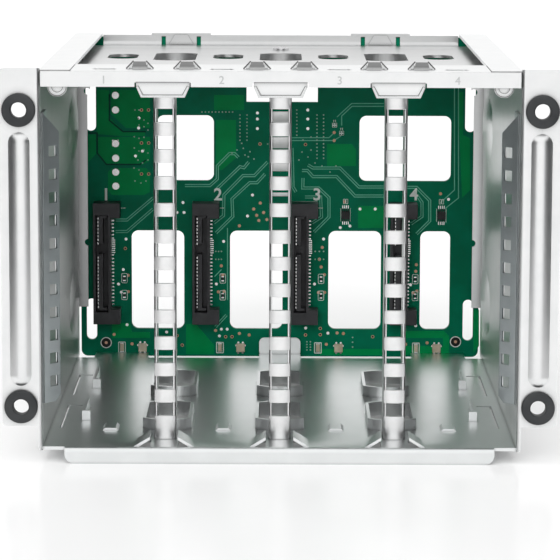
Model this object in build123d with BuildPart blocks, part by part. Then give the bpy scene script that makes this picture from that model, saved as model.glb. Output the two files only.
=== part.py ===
from build123d import *
import os

os.makedirs("parts", exist_ok=True)

# Four-bay drive cage of bent sheet steel with a backplane board at the rear.
# Millimetres. X runs to the right, Y to the rear, Z up.
# Depths are measured rearwards from the plane of the front lip, heights from the table.

# Bays
bay_pitch = 35.2
bay_count = 4

# Sheet metal
sheet = 1.0
bend = 1.5
seam_gap = 0.3
fold_radius = 0.8

# Shell
inner_width = 143.8
cage_depth = 168.0
floor_top = 5.0
cage_top = 119.6
wall_bottom = 4.0

# Mounting ears
ear_reach = 11.1
ear_bottom = 11.7
ear_rise = 0.6
ear_corner = 1.5
ear_bend = 0.3
ear_hole_inset = 5.75
ear_hole_low = 17.7
ear_hole_pitch = 90.0
rib_width = 6.4
rib_height = 1.3
rib_low = 24.0
rib_high = 101.0

# Grommets
grommet_head = 10.1
grommet_neck = 7.6
grommet_bore = 4.7
grommet_front = 1.6
grommet_back = 1.6

# Flanges and bulges of the side walls
top_flange = 9.9
top_flange_start = 2.0
top_flange_radius = 0.8
rear_flange = 3.3
rear_flange_wide = 4.3
rear_flange_low = 21.7
rear_flange_step = 99.0
rear_flange_drop = 5.4
rear_notch_radius = 1.2
rear_notch_low = 45.0
bulge_length = 47.0
bulge_height = 23.0
bulge_inset = 27.0
bulge_rise = 1.3
bulge_root = 1.7
bulge_centres = (28.0, 89.0)

# Contact strips on the walls, which lean inwards at 45 degrees
strip_sheet = 0.8
strip_start = 3.0
strip_base = 12.0
strip_reach = 5.1
strip_low = 18.0
strip_high = 106.5
strip_top_drop = 6.0
strip_bottom_cut = 2.0
strip_windows = 11
strip_window_pitch = 7.02
strip_window_height = 3.25
strip_window_out = 2.2
strip_window_in = 4.4
strip_window_first = 24.5

# Divider posts
post_width = 6.5
post_sheet = 0.8
post_depth = 12.4
post_front = 13.5
rung_count = 11
rung_pitch = 8.23
rung_height = 4.1
rung_bow = 0.7
rung_first = 18.5
window_width = 4.9

# Top plate
header_depth = 26.0
lip_drop = 4.9
lip_side_gap = 0.2
plate_drop = 4.1
rear_lip_rise = 3.5
hook_slit = 1.5
hook_stem = 10.9
hook_cap = 20.8
hook_drop = 2.5
emboss_base = 8.3
emboss_tip = 4.5
emboss_height = 3.2
emboss_rise = 0.3
tray_top_width = 16.0
tray_bottom_width = 13.2
tray_drop = 3.2
tray_setback = 0.8
tray_notch = 1.3
tray_notch_gap = 0.4
wing_offset = 7.1
wing_base = 4.8
wing_tip = 3.6
wing_rise = 2.3
wing_depth = 6.0
wing_opening_width = 8.4
wing_opening_length = 2.6
dimple_width = 7.6
dimple_length = 4.0
dimple_depth = 5.6
plate_hole_width = 10.0
plate_hole_length = 21.0
plate_hole_depth = 112.3
lug_offset = 66.7
lug_radius = 3.0

# Collars of the floor and of the top plate
collar_end_radius = 10.0
collar_rise = 3.5
floor_collar_width = 15.2
floor_collar_length = 32.4
floor_collar_depths = (42.6, 98.4)
plate_collar_width = 16.0
plate_collar_length = 36.0
plate_collar_depths = (47.5, 111.5)

# Floor
floor_inset = 11.0
lip_half = 65.3
lip_corner = 3.0
tongue_half = 7.4
side_tongue_in = 47.0
side_tongue_out = 66.0
rear_tab_rise = 6.0
rear_tab_corner = 2.0
ramp_out = 9.2
ramp_in = 4.2
ramp_rise = 3.0
ramp_start = 2.0
ramp_end = 13.0
bridge_width = 3.3
bridge_start = 26.4
bridge_end = 35.4
bridge_rise = 0.8
bridge_slope = 45
latch_depths = (68.2, 122.8)
latch_length = 37.0
latch_out = 69.0
latch_in = 64.2
latch_slit = 0.8
latch_end_slit = 1.4
latch_tab = 62.2
latch_tab_start = 26.0
latch_tab_end = 4.0
latch_tab_rise = 3.2
latch_toe = 2.6

# Backplane board
board_thickness = 1.6
board_half = 71.2
board_bottom = 3.7
board_corner = 2.3
window_corner = 2.5
upper_windows = ((-43.8, -23.7), (28.1, 60.7))
upper_window_low = 67.2
upper_window_high = 90.5
lower_window_left = -0.3
lower_window_width = 18.8
last_window_left = -2.7
last_window_width = 10.7
lower_window_low = 13.7
lower_window_high = 49.2
corner_slot_in = 65.6
corner_slot_out = 69.3
corner_slots = ((9.6, 24.5), (84.8, 104.0))
top_notch_left = -12.1
top_notch_right = 13.2
top_notch_low = 95.3

# Drive connectors
connector_offset = -10.5
connector_width = 6.2
connector_depth = 8.0
connector_low = 16.4
connector_high = 59.8
connector_end_block = 5.3
connector_end_reach = 3.3
socket_width = 4.4
socket_depth = 5.5
socket_end_wall = 4.3
tongue_width = 1.6
tongue_shift = 0.4
tongue_recess = 1.0
key_length = 1.4
key_height = 1.0
contact_pitch = 1.27
contact_width = 0.5
contact_thickness = 0.3
contact_tail = 0.8
middle_contact_tail = 1.2
power_contacts = 15
signal_contacts = 7
middle_contacts = 7
middle_contact_pitch = 0.75
middle_contact_width = 0.4
power_contact_low = 22.5
middle_contact_low = 41.2
signal_contact_low = 46.4

# Small parts on the board
led_height = 0.9
led_bevel = 0.2
small_led_width = 1.4
small_led_length = 2.6
square_led_side = 3.0
small_led_offset = -3.9
square_led_offset = 3.5
led_centre_height = 6.8
chip_places = ((23.3, 55.0), (57.5, 55.0))
chip_width = 3.0
chip_length = 2.7
chip_rise = 1.1
chip_stand = 0.1
chip_leads = 4
chip_lead_pitch = 0.75
chip_lead_width = 0.35
chip_lead_reach = 1.0
passive_offset = 4.5
last_passive_offset = 3.0
passive_width = 0.8
passive_length = 1.6
passive_rise = 0.6
passive_heights = (25.8, 31.9)

# Rear connectors
sas_width = 24.0
sas_height = 15.0
sas_depth = 11.0
sas_sheet = 0.5
sas_centre = 0.5
sas_low = 77.0
sas_base = 3.8
sas_tongue_width = 20.0
sas_tongue = 1.4
sas_tongue_height = 7.5
header_width = 9.0
header_wall = 1.0
header_floor = 2.4
header_back = 9.5
header_centre = -58.6
header_low = 60.5
header_high = 102.0
header_pins = (97.6, 92.4, 80.4, 75.2, 70.2, 65.2)
header_pin = 0.8
header_pin_hole = 1.2
header_pin_reach = 7.1
header_pin_stub = 1.2
header_joint_radius = 1.5
header_joint_taper = 12

# Screw on the top plate
screw_inset = 24.5
screw_head = 5.4
screw_head_height = 1.0
screw_bevel = 0.3
screw_slot_depth = 0.6
screw_shank = 2.6
screw_length = 3.0
screw_slot = 0.8

# Derived places
wall_inner = inner_width / 2
wall_outer = wall_inner + sheet
ear_outer = wall_outer + ear_reach
overall_depth = grommet_front + cage_depth + board_thickness + sas_depth
front = grommet_front - overall_depth / 2
ear_top = cage_top + ear_rise
rear_flange_high = cage_top - rear_flange_drop
floor_rear = cage_depth - floor_inset
screw_depth = cage_depth - screw_inset
plate_top = cage_top - plate_drop
rear_lip_top = plate_top + rear_lip_rise
plate_under = plate_top - sheet
lip_bottom = cage_top - lip_drop
tray_bottom = lip_bottom - tray_drop
bulge_centre_depth = cage_depth - bulge_inset
flange_inner = wall_outer - top_flange
board_top = cage_top - sheet - seam_gap
board_front = cage_depth
board_back = board_front + board_thickness
ear_hole_x = ear_outer - ear_hole_inset
post_lines = [bay_pitch * (i - (bay_count - 2) / 2) for i in range(bay_count - 1)]
bay_centres = [bay_pitch * (i - (bay_count - 1) / 2) for i in range(bay_count)]
hook_lines = (post_lines[0], post_lines[-1])


def front_view(depth):
    """Plane facing forwards at a depth behind the lip: its x is X and its y is Z."""
    return Plane.XZ.offset(-(front + depth))


def level(height):
    """Horizontal plane at a height: its x is X and its y is Y."""
    return Plane.XY.offset(height)


def side_view(x):
    """Plane facing right at X = x: its x is Y and its y is Z."""
    return Plane.YZ.offset(x)


def bent_strip(plane, points, radius, side):
    """Cross-section of a bent sheet whose one face follows the points."""
    with BuildSketch(plane) as strip:
        with BuildLine():
            FilletPolyline(*points, radius=radius)
            offset(amount=sheet, side=side)
        make_face()
    return strip.sketch


def collar_outline(plane, width, length):
    """Straight-sided opening with shallow arcs at both ends, about the plane's origin."""
    half_width = width / 2
    sagitta = collar_end_radius - (collar_end_radius**2 - half_width**2) ** 0.5
    end = length / 2
    shoulder = end - sagitta
    with BuildSketch(plane) as outline:
        with BuildLine():
            Line((half_width, -shoulder), (half_width, shoulder))
            ThreePointArc((half_width, shoulder), (0, end), (-half_width, shoulder))
            Line((-half_width, shoulder), (-half_width, -shoulder))
            ThreePointArc((-half_width, -shoulder), (0, -end), (half_width, -shoulder))
        make_face()
    return outline.sketch


def capsule(radius, length):
    """Upright round-ended rod about the origin, with its end centres a length apart."""
    with BuildPart() as rod:
        Cylinder(radius, length)
        with Locations((0, 0, length / 2), (0, 0, -length / 2)):
            Sphere(radius)
    return rod.part


# Oval dome that rises inwards from the plane X = 0, rooted half a sheet behind it
bulge_reach = bulge_root + bulge_rise
bulge_spread = (1 - (bulge_root / bulge_reach) ** 2) ** 0.5
bulge_half_sizes = (bulge_reach, bulge_length / 2 / bulge_spread, bulge_height / 2 / bulge_spread)

with BuildPart() as ball_cap:
    Sphere(1)
    split(bisect_by=side_view((sheet / 2 - bulge_root) / bulge_reach), keep=Keep.BOTTOM)

bulge_cap = Location((bulge_root, 0, 0)) * scale(ball_cap.part, by=bulge_half_sizes)

# Stiffening rib of an ear: a hollow half-round ridge on the front face
rib_radius = (rib_width**2 / 4 + rib_height**2) / (2 * rib_height)
rib_axis_depth = rib_radius - rib_height
rib_span = rib_high - rib_low - rib_width
rib_place = (ear_hole_x, front + rib_axis_depth, (rib_low + rib_high) / 2)

with BuildPart() as ear_rib:
    with Locations(rib_place):
        add(capsule(rib_radius, rib_span))
        add(capsule(rib_radius - sheet, rib_span), mode=Mode.SUBTRACT)
    split(bisect_by=front_view(sheet / 2), keep=Keep.TOP)

# Right side wall: one sheet with the ear, the top flange and the rear flange
with BuildPart() as side_wall_right:
    wall_run = [
        (ear_outer, front),
        (wall_inner, front),
        (wall_inner, front + cage_depth),
    ]
    plan = bent_strip(level(wall_bottom), wall_run, ear_bend + sheet, Side.RIGHT)
    extrude(plan, amount=ear_top - wall_bottom)
    # the ear stops short of the table, the wall stops short of the ear's top
    with BuildSketch(front_view(-sheet)) as below_ear:
        with Locations((wall_outer + ear_bend, wall_bottom - sheet)):
            Rectangle(ear_reach, ear_bottom - wall_bottom + sheet, align=(Align.MIN, Align.MIN))
    extrude(amount=-(ear_bend + 3 * sheet), mode=Mode.SUBTRACT)
    with BuildSketch(side_view(wall_outer + sheet)) as above_wall:
        with Locations((front + ear_bend + sheet, cage_top)):
            Rectangle(cage_depth, 2 * sheet, align=(Align.MIN, Align.MIN))
    extrude(amount=-3 * sheet, mode=Mode.SUBTRACT)
    ear_edges = side_wall_right.edges().filter_by(Axis.Y).group_by(Axis.X)[-1]
    fillet(ear_edges, ear_corner)
    foot_edges = side_wall_right.edges().filter_by(Axis.Y).group_by(Axis.Z)[0]
    fillet(foot_edges.sort_by(Axis.X)[-1], fold_radius)
    # top flange
    with BuildSketch(front_view(top_flange_start)) as flange_section:
        with Locations((flange_inner, cage_top - sheet)):
            Rectangle(top_flange, sheet, align=(Align.MIN, Align.MIN))
    extrude(amount=-(cage_depth - top_flange_start))
    # the fold between the wall and its top flange is rounded
    with BuildSketch(front_view(ear_bend + sheet)) as fold_corner:
        with Locations((wall_outer, cage_top)):
            Rectangle(top_flange_radius, top_flange_radius, align=(Align.MAX, Align.MAX))
        with Locations((wall_outer - top_flange_radius, cage_top - top_flange_radius)):
            Circle(top_flange_radius, mode=Mode.SUBTRACT)
    extrude(amount=-(cage_depth - ear_bend - sheet), mode=Mode.SUBTRACT)
    # rear flange, wider at the top, with a round notch in its edge
    with BuildSketch(front_view(cage_depth)) as rear_section:
        with Locations((wall_inner, rear_flange_low)):
            Rectangle(
                rear_flange,
                rear_flange_high - rear_flange_low,
                align=(Align.MAX, Align.MIN),
            )
        with Locations((wall_inner, rear_flange_step)):
            Rectangle(
                rear_flange_wide,
                rear_flange_high - rear_flange_step,
                align=(Align.MAX, Align.MIN),
            )
        for height in (rear_notch_low, rear_flange_step):
            with Locations((wall_inner - rear_flange, height)):
                Circle(rear_notch_radius, mode=Mode.SUBTRACT)
    extrude(amount=sheet)
    # oval bulges pressed inwards
    for height in bulge_centres:
        with Locations((wall_inner, front + bulge_centre_depth, height)):
            add(bulge_cap)
        with Locations((wall_outer, front + bulge_centre_depth, height)):
            add(bulge_cap, mode=Mode.SUBTRACT)
    # rib and grommet holes in the ear
    add(ear_rib.part)
    with Locations(rib_place):
        add(capsule(rib_radius - sheet, rib_span), mode=Mode.SUBTRACT)
    with BuildSketch(front_view(-sheet)) as ear_holes:
        with Locations(
            (ear_hole_x, ear_hole_low),
            (ear_hole_x, ear_hole_low + ear_hole_pitch),
        ):
            Circle(grommet_neck / 2)
    extrude(amount=-3 * sheet, mode=Mode.SUBTRACT)

with BuildPart() as side_wall_left:
    mirror(side_wall_right.part, about=Plane.YZ)

# Floor pan
with BuildPart() as floor_pan:
    with BuildSketch(level(floor_top - sheet)) as floor_outline:
        with Locations((0, front + bend)):
            Rectangle(
                2 * wall_inner,
                floor_rear - bend,
                align=(Align.CENTER, Align.MIN),
            )
        with Locations((0, front + floor_rear)):
            Rectangle(
                2 * tongue_half,
                cage_depth - floor_rear - 2 * sheet,
                align=(Align.CENTER, Align.MIN),
            )
        for side in (-1, 1):
            tongue_centre = side * (side_tongue_in + side_tongue_out) / 2
            with Locations((tongue_centre, front + floor_rear)):
                Rectangle(
                    side_tongue_out - side_tongue_in,
                    cage_depth - floor_rear,
                    align=(Align.CENTER, Align.MIN),
                )
    extrude(amount=sheet)
    # front lip, bent down
    lip_run = [(front, 0), (front, floor_top), (front + 2 * bend + sheet, floor_top)]
    extrude(bent_strip(side_view(-lip_half), lip_run, bend, Side.RIGHT), amount=2 * lip_half)
    lip_edges = floor_pan.edges().filter_by(Axis.Y).group_by(Axis.Z)[0]
    fillet(lip_edges, lip_corner)
    # feet bent down at the rear
    with BuildSketch(front_view(cage_depth)) as feet:
        for side in (-1, 1):
            with Locations((side * (side_tongue_in + side_tongue_out) / 2, 0)):
                Rectangle(
                    side_tongue_out - side_tongue_in,
                    floor_top,
                    align=(Align.CENTER, Align.MIN),
                )
    extrude(amount=sheet)
    # upright tab at the rear centre
    with BuildSketch(front_view(cage_depth - 2 * sheet)) as rear_tab:
        with Locations((0, floor_top - sheet)):
            Rectangle(
                2 * tongue_half,
                rear_tab_rise + sheet,
                align=(Align.CENTER, Align.MIN),
            )
        fillet(rear_tab.vertices().group_by(Axis.Z)[-1], rear_tab_corner)
    extrude(amount=sheet)
    # raised collars on the post lines
    for x in post_lines:
        for depth in floor_collar_depths:
            base = Plane((x, front + depth, floor_top - sheet))
            outer = collar_outline(base, floor_collar_width, floor_collar_length)
            inner = collar_outline(base, floor_collar_width - 2 * sheet, floor_collar_length - 2 * sheet)
            extrude(outer, amount=collar_rise + sheet)
            extrude(inner, amount=collar_rise + sheet, mode=Mode.SUBTRACT)
    # ramps that guide the carriers onto each post, over an opening
    for x in post_lines:
        with BuildSketch(level(floor_top - sheet)) as ramp_openings:
            for side in (-1, 1):
                with Locations((x + side * (ramp_out + ramp_in) / 2, front + (ramp_start + ramp_end) / 2)):
                    Rectangle(ramp_out - ramp_in, ramp_end - ramp_start)
        extrude(amount=sheet, mode=Mode.SUBTRACT)
        with BuildSketch(front_view(ramp_end)) as ramps:
            for side in (-1, 1):
                with BuildLine():
                    Polyline(
                        (x + side * ramp_out, floor_top - sheet),
                        (x + side * ramp_out, floor_top),
                        (x + side * ramp_in, floor_top + ramp_rise),
                        (x + side * ramp_in, floor_top + ramp_rise - sheet),
                        close=True,
                    )
                make_face()
        extrude(amount=ramp_end - ramp_start)
    # low bridges on the bay centres
    for x in bay_centres:
        with BuildSketch(front_view(bridge_end)) as bridge:
            with Locations((x, floor_top)):
                Trapezoid(
                    bridge_width + 2 * bridge_rise,
                    bridge_rise,
                    bridge_slope,
                    align=(Align.CENTER, Align.MIN),
                )
        extrude(amount=bridge_end - bridge_start)
        with BuildSketch(front_view(bridge_end)) as under_bridge:
            with Locations((x, floor_top - sheet)):
                Trapezoid(
                    bridge_width + 2 * bridge_rise,
                    bridge_rise,
                    bridge_slope,
                    align=(Align.CENTER, Align.MIN),
                )
        extrude(amount=bridge_end - bridge_start, mode=Mode.SUBTRACT)
    # tongues beside the walls, freed by a slit on two sides
    for side in (-1, 1):
        for depth in latch_depths:
            with BuildSketch(level(floor_top - sheet)) as latch_slits:
                with Locations((side * (latch_out - latch_slit / 2), front + depth)):
                    Rectangle(latch_slit, latch_length, align=(Align.CENTER, Align.MAX))
                with Locations((side * (latch_out + latch_in) / 2, front + depth)):
                    Rectangle(latch_out - latch_in, latch_end_slit, align=(Align.CENTER, Align.MAX))
            extrude(amount=sheet, mode=Mode.SUBTRACT)
            # upright tab beside the tongue, with a toe at its front end
            with BuildSketch(level(floor_top - sheet)) as latch_tab_outline:
                with Locations((side * latch_tab, front + depth - latch_tab_end)):
                    Rectangle(sheet, latch_tab_start - latch_tab_end, align=(Align.CENTER, Align.MAX))
                with Locations((side * (latch_tab + sheet / 2), front + depth - latch_tab_start)):
                    Rectangle(
                        latch_toe,
                        sheet,
                        align=(Align.MIN if side < 0 else Align.MAX, Align.MIN),
                    )
            extrude(amount=sheet + latch_tab_rise)

# Top plate: raised header with a front lip, lower plate and an upturned rear lip
with BuildPart() as top_plate:
    plate_run = [
        (front, lip_bottom),
        (front, cage_top),
        (front + header_depth, cage_top),
        (front + header_depth, plate_top),
        (front + cage_depth - sheet, plate_top),
        (front + cage_depth - sheet, rear_lip_top),
    ]
    header_half = flange_inner - seam_gap
    header_section = bent_strip(side_view(-header_half), plate_run, bend, Side.RIGHT)
    extrude(header_section, amount=2 * header_half)
    # the lower plate reaches the walls beneath their flanges
    with BuildSketch(level(plate_under)) as lower_plate:
        with Locations((0, front + header_depth + bend)):
            Rectangle(
                2 * wall_inner,
                cage_depth - header_depth - bend - 3 * sheet,
                align=(Align.CENTER, Align.MIN),
            )
    extrude(amount=sheet)
    # the lip runs on in front of the walls' flanges
    with BuildSketch(front_view(sheet)) as lip:
        with Locations((0, lip_bottom)):
            Rectangle(
                2 * (wall_inner - lip_side_gap),
                lip_drop - seam_gap,
                align=(Align.CENTER, Align.MIN),
            )
    extrude(amount=sheet)
    # the lip's lower edge is notched in front of each tray
    with BuildSketch(front_view(sheet)) as lip_notches:
        for x in post_lines:
            with Locations((x, lip_bottom)):
                Rectangle(tray_top_width + 2 * tray_notch_gap, 2 * tray_notch)
    extrude(amount=sheet, mode=Mode.SUBTRACT)
    # the rear lip is cut away beside the hooks and short of the walls
    with BuildSketch(front_view(cage_depth + sheet)) as rear_cuts:
        for x in hook_lines:
            with Locations((x, plate_top)):
                Rectangle(
                    hook_stem + 2 * hook_slit,
                    2 * plate_drop,
                    align=(Align.CENTER, Align.MIN),
                )
    extrude(amount=4 * sheet, mode=Mode.SUBTRACT)
    # board hooks: a stem that rises from the plate and a cap over the board's edge
    for x in hook_lines:
        with BuildSketch(side_view(x - hook_stem / 2)) as stem:
            with Locations((front + cage_depth, plate_under)):
                Rectangle(3 * sheet, sheet, align=(Align.MAX, Align.MIN))
                Rectangle(sheet, cage_top - plate_under, align=(Align.MAX, Align.MIN))
        extrude(amount=hook_stem)
        with BuildSketch(front_view(cage_depth - sheet)) as emboss:
            with BuildLine():
                Polyline(
                    (x - emboss_base / 2, cage_top - emboss_height - sheet / 2),
                    (x - emboss_tip / 2, cage_top - sheet / 2),
                    (x + emboss_tip / 2, cage_top - sheet / 2),
                    (x + emboss_base / 2, cage_top - emboss_height - sheet / 2),
                    close=True,
                )
            make_face()
        extrude(amount=emboss_rise)
        with BuildSketch(side_view(x - hook_cap / 2)) as cap:
            with Locations((front + cage_depth - sheet, cage_top)):
                Rectangle(
                    board_thickness + 2 * sheet + seam_gap,
                    sheet,
                    align=(Align.MIN, Align.MAX),
                )
            with Locations((front + board_back + seam_gap, cage_top)):
                Rectangle(sheet, hook_drop, align=(Align.MIN, Align.MAX))
        extrude(amount=hook_cap)
    # trays under the lip that carry the posts
    for x in post_lines:
        with BuildSketch(front_view(tray_setback + sheet)) as tray_front:
            with BuildLine():
                Polyline(
                    (x - tray_bottom_width / 2, tray_bottom),
                    (x - tray_top_width / 2, lip_bottom),
                    (x - tray_top_width / 2, lip_bottom + tray_notch + sheet),
                    (x + tray_top_width / 2, lip_bottom + tray_notch + sheet),
                    (x + tray_top_width / 2, lip_bottom),
                    (x + tray_bottom_width / 2, tray_bottom),
                    close=True,
                )
            make_face()
        extrude(amount=sheet)
        with BuildSketch(level(tray_bottom)) as tray_shelf:
            with Locations((x, front + tray_setback)):
                Rectangle(
                    tray_bottom_width,
                    post_front + post_depth - tray_setback,
                    align=(Align.CENTER, Align.MIN),
                )
        extrude(amount=sheet)
    # half-round lugs under both ends of the lip
    with BuildSketch(front_view(tray_setback + sheet)) as lugs:
        for side in (-1, 1):
            with Locations((side * lug_offset, lip_bottom)):
                Circle(lug_radius)
            with Locations((side * lug_offset, lip_bottom + sheet)):
                Rectangle(
                    2 * lug_radius,
                    lug_radius,
                    align=(Align.CENTER, Align.MIN),
                    mode=Mode.SUBTRACT,
                )
    extrude(amount=sheet)
    # wings standing on the header beside each post line, each beside its own opening
    for x in post_lines:
        for side in (-1, 1):
            wing_x = x + side * wing_offset
            with BuildSketch(front_view(wing_depth)) as wing:
                with BuildLine():
                    Polyline(
                        (wing_x - wing_base / 2, cage_top),
                        (wing_x - wing_tip / 2, cage_top + wing_rise),
                        (wing_x + wing_tip / 2, cage_top + wing_rise),
                        (wing_x + wing_base / 2, cage_top),
                        close=True,
                    )
                make_face()
            extrude(amount=sheet)
            with BuildSketch(level(cage_top - sheet)) as wing_opening:
                with BuildLine():
                    Polyline(
                        (wing_x - wing_opening_width / 2, front + wing_depth),
                        (wing_x - wing_base / 2, front + wing_depth + wing_opening_length),
                        (wing_x + wing_base / 2, front + wing_depth + wing_opening_length),
                        (wing_x + wing_opening_width / 2, front + wing_depth),
                        close=True,
                    )
                make_face()
            extrude(amount=sheet, mode=Mode.SUBTRACT)
    # openings on the bay centres
    with BuildSketch(level(plate_under)) as plate_openings:
        for x in bay_centres:
            with Locations((x, front + plate_hole_depth)):
                SlotOverall(plate_hole_length, plate_hole_width, rotation=90)
    extrude(amount=sheet, mode=Mode.SUBTRACT)
    with BuildSketch(level(cage_top - sheet)) as header_openings:
        for x in bay_centres:
            with Locations((x, front + dimple_depth)):
                SlotOverall(dimple_width, dimple_length)
    extrude(amount=sheet, mode=Mode.SUBTRACT)
    # collars drawn down on the post lines
    for x in post_lines:
        for depth in plate_collar_depths:
            base = Plane((x, front + depth, plate_top - collar_rise))
            outer = collar_outline(base, plate_collar_width, plate_collar_length)
            inner = collar_outline(base, plate_collar_width - 2 * sheet, plate_collar_length - 2 * sheet)
            extrude(outer, amount=collar_rise)
            extrude(inner, amount=collar_rise, mode=Mode.SUBTRACT)
    # hole for the screw
    with BuildSketch(level(plate_under)) as screw_hole:
        with Locations((0, front + screw_depth)):
            Circle(screw_shank / 2)
    extrude(amount=sheet, mode=Mode.SUBTRACT)


def make_post(x):
    """Divider post: a channel open to the rear, with a ladder of rungs in its web."""
    height = tray_bottom - floor_top
    with BuildPart() as post:
        with BuildSketch(level(floor_top)) as section:
            with Locations((x, front + post_front)):
                Rectangle(post_width, post_depth, align=(Align.CENTER, Align.MIN))
            with Locations((x, front + post_front + post_sheet)):
                Rectangle(
                    post_width - 2 * post_sheet,
                    post_depth,
                    align=(Align.CENTER, Align.MIN),
                    mode=Mode.SUBTRACT,
                )
        extrude(amount=height)
        # windows of the web, one above each rung but the last and one below the first
        with BuildSketch(front_view(post_front)) as windows:
            for i in range(rung_count):
                with Locations((x, rung_first + (i - 0.5) * rung_pitch)):
                    Rectangle(window_width, rung_pitch - rung_height)
        extrude(amount=-post_sheet, mode=Mode.SUBTRACT)
        # rungs bow forwards
        for i in range(rung_count):
            low = rung_first + i * rung_pitch - rung_height / 2
            with BuildSketch(level(low)) as rung:
                with BuildLine():
                    ThreePointArc(
                        (x - post_width / 2, front + post_front),
                        (x, front + post_front - rung_bow),
                        (x + post_width / 2, front + post_front),
                    )
                    Line(
                        (x + post_width / 2, front + post_front),
                        (x - post_width / 2, front + post_front),
                    )
                make_face()
            extrude(amount=rung_height)
    return post.part


# Contact strip: a base on the wall and a slotted web that leans inwards and rearwards
diagonal = 2**0.5
strip_plane = Plane(origin=(wall_inner, front + strip_start, 0), x_dir=(-1, 1, 0), z_dir=(1, 1, 0))

with BuildPart() as contact_strip_right:
    with BuildSketch(strip_plane) as strip_web:
        with BuildLine():
            Polyline(
                (strip_sheet, strip_low),
                (strip_sheet, strip_high),
                (strip_reach * diagonal, strip_high - strip_top_drop),
                (strip_reach * diagonal, strip_low + strip_bottom_cut),
                (strip_reach * diagonal - strip_bottom_cut, strip_low),
                close=True,
            )
        make_face()
        for i in range(strip_windows):
            with Locations((strip_window_out * diagonal, strip_window_first + i * strip_window_pitch)):
                Rectangle(
                    (strip_window_in - strip_window_out) * diagonal,
                    strip_window_height,
                    align=(Align.MIN, Align.CENTER),
                    mode=Mode.SUBTRACT,
                )
    extrude(amount=strip_sheet)
    with BuildSketch(side_view(wall_inner)) as strip_base_outline:
        with Locations((front + strip_start + strip_sheet, strip_low)):
            Rectangle(strip_base, strip_high - strip_low, align=(Align.MIN, Align.MIN))
    extrude(amount=-strip_sheet)

with BuildPart() as contact_strip_left:
    mirror(contact_strip_right.part, about=Plane.YZ)


def make_grommet(side, height):
    """Rubber grommet in an ear: two heads and a neck round a plain bore."""
    with BuildPart() as grommet:
        with BuildSketch(front_view(-grommet_front)) as front_head:
            with Locations((side * ear_hole_x, height)):
                Circle(grommet_head / 2)
        extrude(amount=-grommet_front)
        with BuildSketch(front_view(0)) as neck:
            with Locations((side * ear_hole_x, height)):
                Circle(grommet_neck / 2)
        extrude(amount=-sheet)
        with BuildSketch(front_view(sheet)) as back_head:
            with Locations((side * ear_hole_x, height)):
                Circle(grommet_head / 2)
        extrude(amount=-grommet_back)
        with BuildSketch(front_view(-grommet_front)) as bore:
            with Locations((side * ear_hole_x, height)):
                Circle(grommet_bore / 2)
        extrude(amount=-(grommet_front + sheet + grommet_back), mode=Mode.SUBTRACT)
    return grommet.part


# Backplane board
with BuildPart() as backplane_board:
    with BuildSketch(front_view(board_front)) as board_outline:
        with Locations((0, board_bottom)):
            Rectangle(
                2 * board_half,
                board_top - board_bottom,
                align=(Align.CENTER, Align.MIN),
            )
        fillet(board_outline.vertices(), board_corner)
        with Locations(((top_notch_left + top_notch_right) / 2, board_top)):
            Rectangle(
                top_notch_right - top_notch_left,
                2 * (board_top - top_notch_low),
                mode=Mode.SUBTRACT,
            )
        notch_corners = board_outline.vertices().filter_by_position(
            Axis.Z, top_notch_low - 0.1, top_notch_low + 0.1
        )
        fillet(notch_corners, window_corner)
        for left, right in upper_windows:
            with Locations(((left + right) / 2, (upper_window_low + upper_window_high) / 2)):
                RectangleRounded(
                    right - left,
                    upper_window_high - upper_window_low,
                    window_corner,
                    mode=Mode.SUBTRACT,
                )
        for i, x in enumerate(bay_centres):
            last = i == bay_count - 1
            left = last_window_left if last else lower_window_left
            width = last_window_width if last else lower_window_width
            with Locations((x + left + width / 2, (lower_window_low + lower_window_high) / 2)):
                RectangleRounded(
                    width,
                    lower_window_high - lower_window_low,
                    window_corner,
                    mode=Mode.SUBTRACT,
                )
        for low, high in corner_slots:
            for side in (-1, 1):
                with Locations((side * (corner_slot_in + corner_slot_out) / 2, (low + high) / 2)):
                    SlotOverall(
                        high - low,
                        corner_slot_out - corner_slot_in,
                        rotation=90,
                        mode=Mode.SUBTRACT,
                    )
        with Locations(*[(header_centre, height) for height in header_pins]):
            Circle(header_pin_hole / 2, mode=Mode.SUBTRACT)
    extrude(amount=-board_thickness)


def make_drive_connector(bay_x):
    """Drive receptacle: a socket with a keyed tongue and two end blocks."""
    x = bay_x + connector_offset
    middle = (connector_low + connector_high) / 2
    height = connector_high - connector_low
    socket_height = height - 2 * socket_end_wall
    tongue_x = x - tongue_shift
    mouth = board_front - connector_depth
    with BuildPart() as connector:
        with BuildSketch(front_view(board_front)) as base:
            with Locations((x, middle)):
                Rectangle(connector_width, height)
            for low in (connector_low, connector_high - connector_end_block):
                with Locations((x - connector_width / 2, low)):
                    Rectangle(
                        connector_width + connector_end_reach,
                        connector_end_block,
                        align=(Align.MIN, Align.MIN),
                    )
        extrude(amount=connector_depth)
        with BuildSketch(front_view(mouth)) as socket:
            with Locations((x, middle)):
                Rectangle(socket_width, socket_height)
        extrude(amount=-socket_depth, mode=Mode.SUBTRACT)
        with BuildSketch(front_view(mouth + socket_depth)) as tongue:
            with Locations((tongue_x, power_contact_low - contact_pitch)):
                Rectangle(
                    tongue_width,
                    (power_contacts + 1) * contact_pitch,
                    align=(Align.CENTER, Align.MIN),
                )
            with Locations((tongue_x, signal_contact_low - contact_pitch)):
                Rectangle(
                    tongue_width,
                    (signal_contacts + 1) * contact_pitch,
                    align=(Align.CENTER, Align.MIN),
                )
            with Locations(
                (tongue_x, power_contact_low - contact_pitch),
                (tongue_x, signal_contact_low + signal_contacts * contact_pitch - key_height),
            ):
                Rectangle(tongue_width / 2 + key_length, key_height, align=(Align.MIN, Align.MIN))
        extrude(amount=socket_depth - tongue_recess)
    return connector.part


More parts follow.
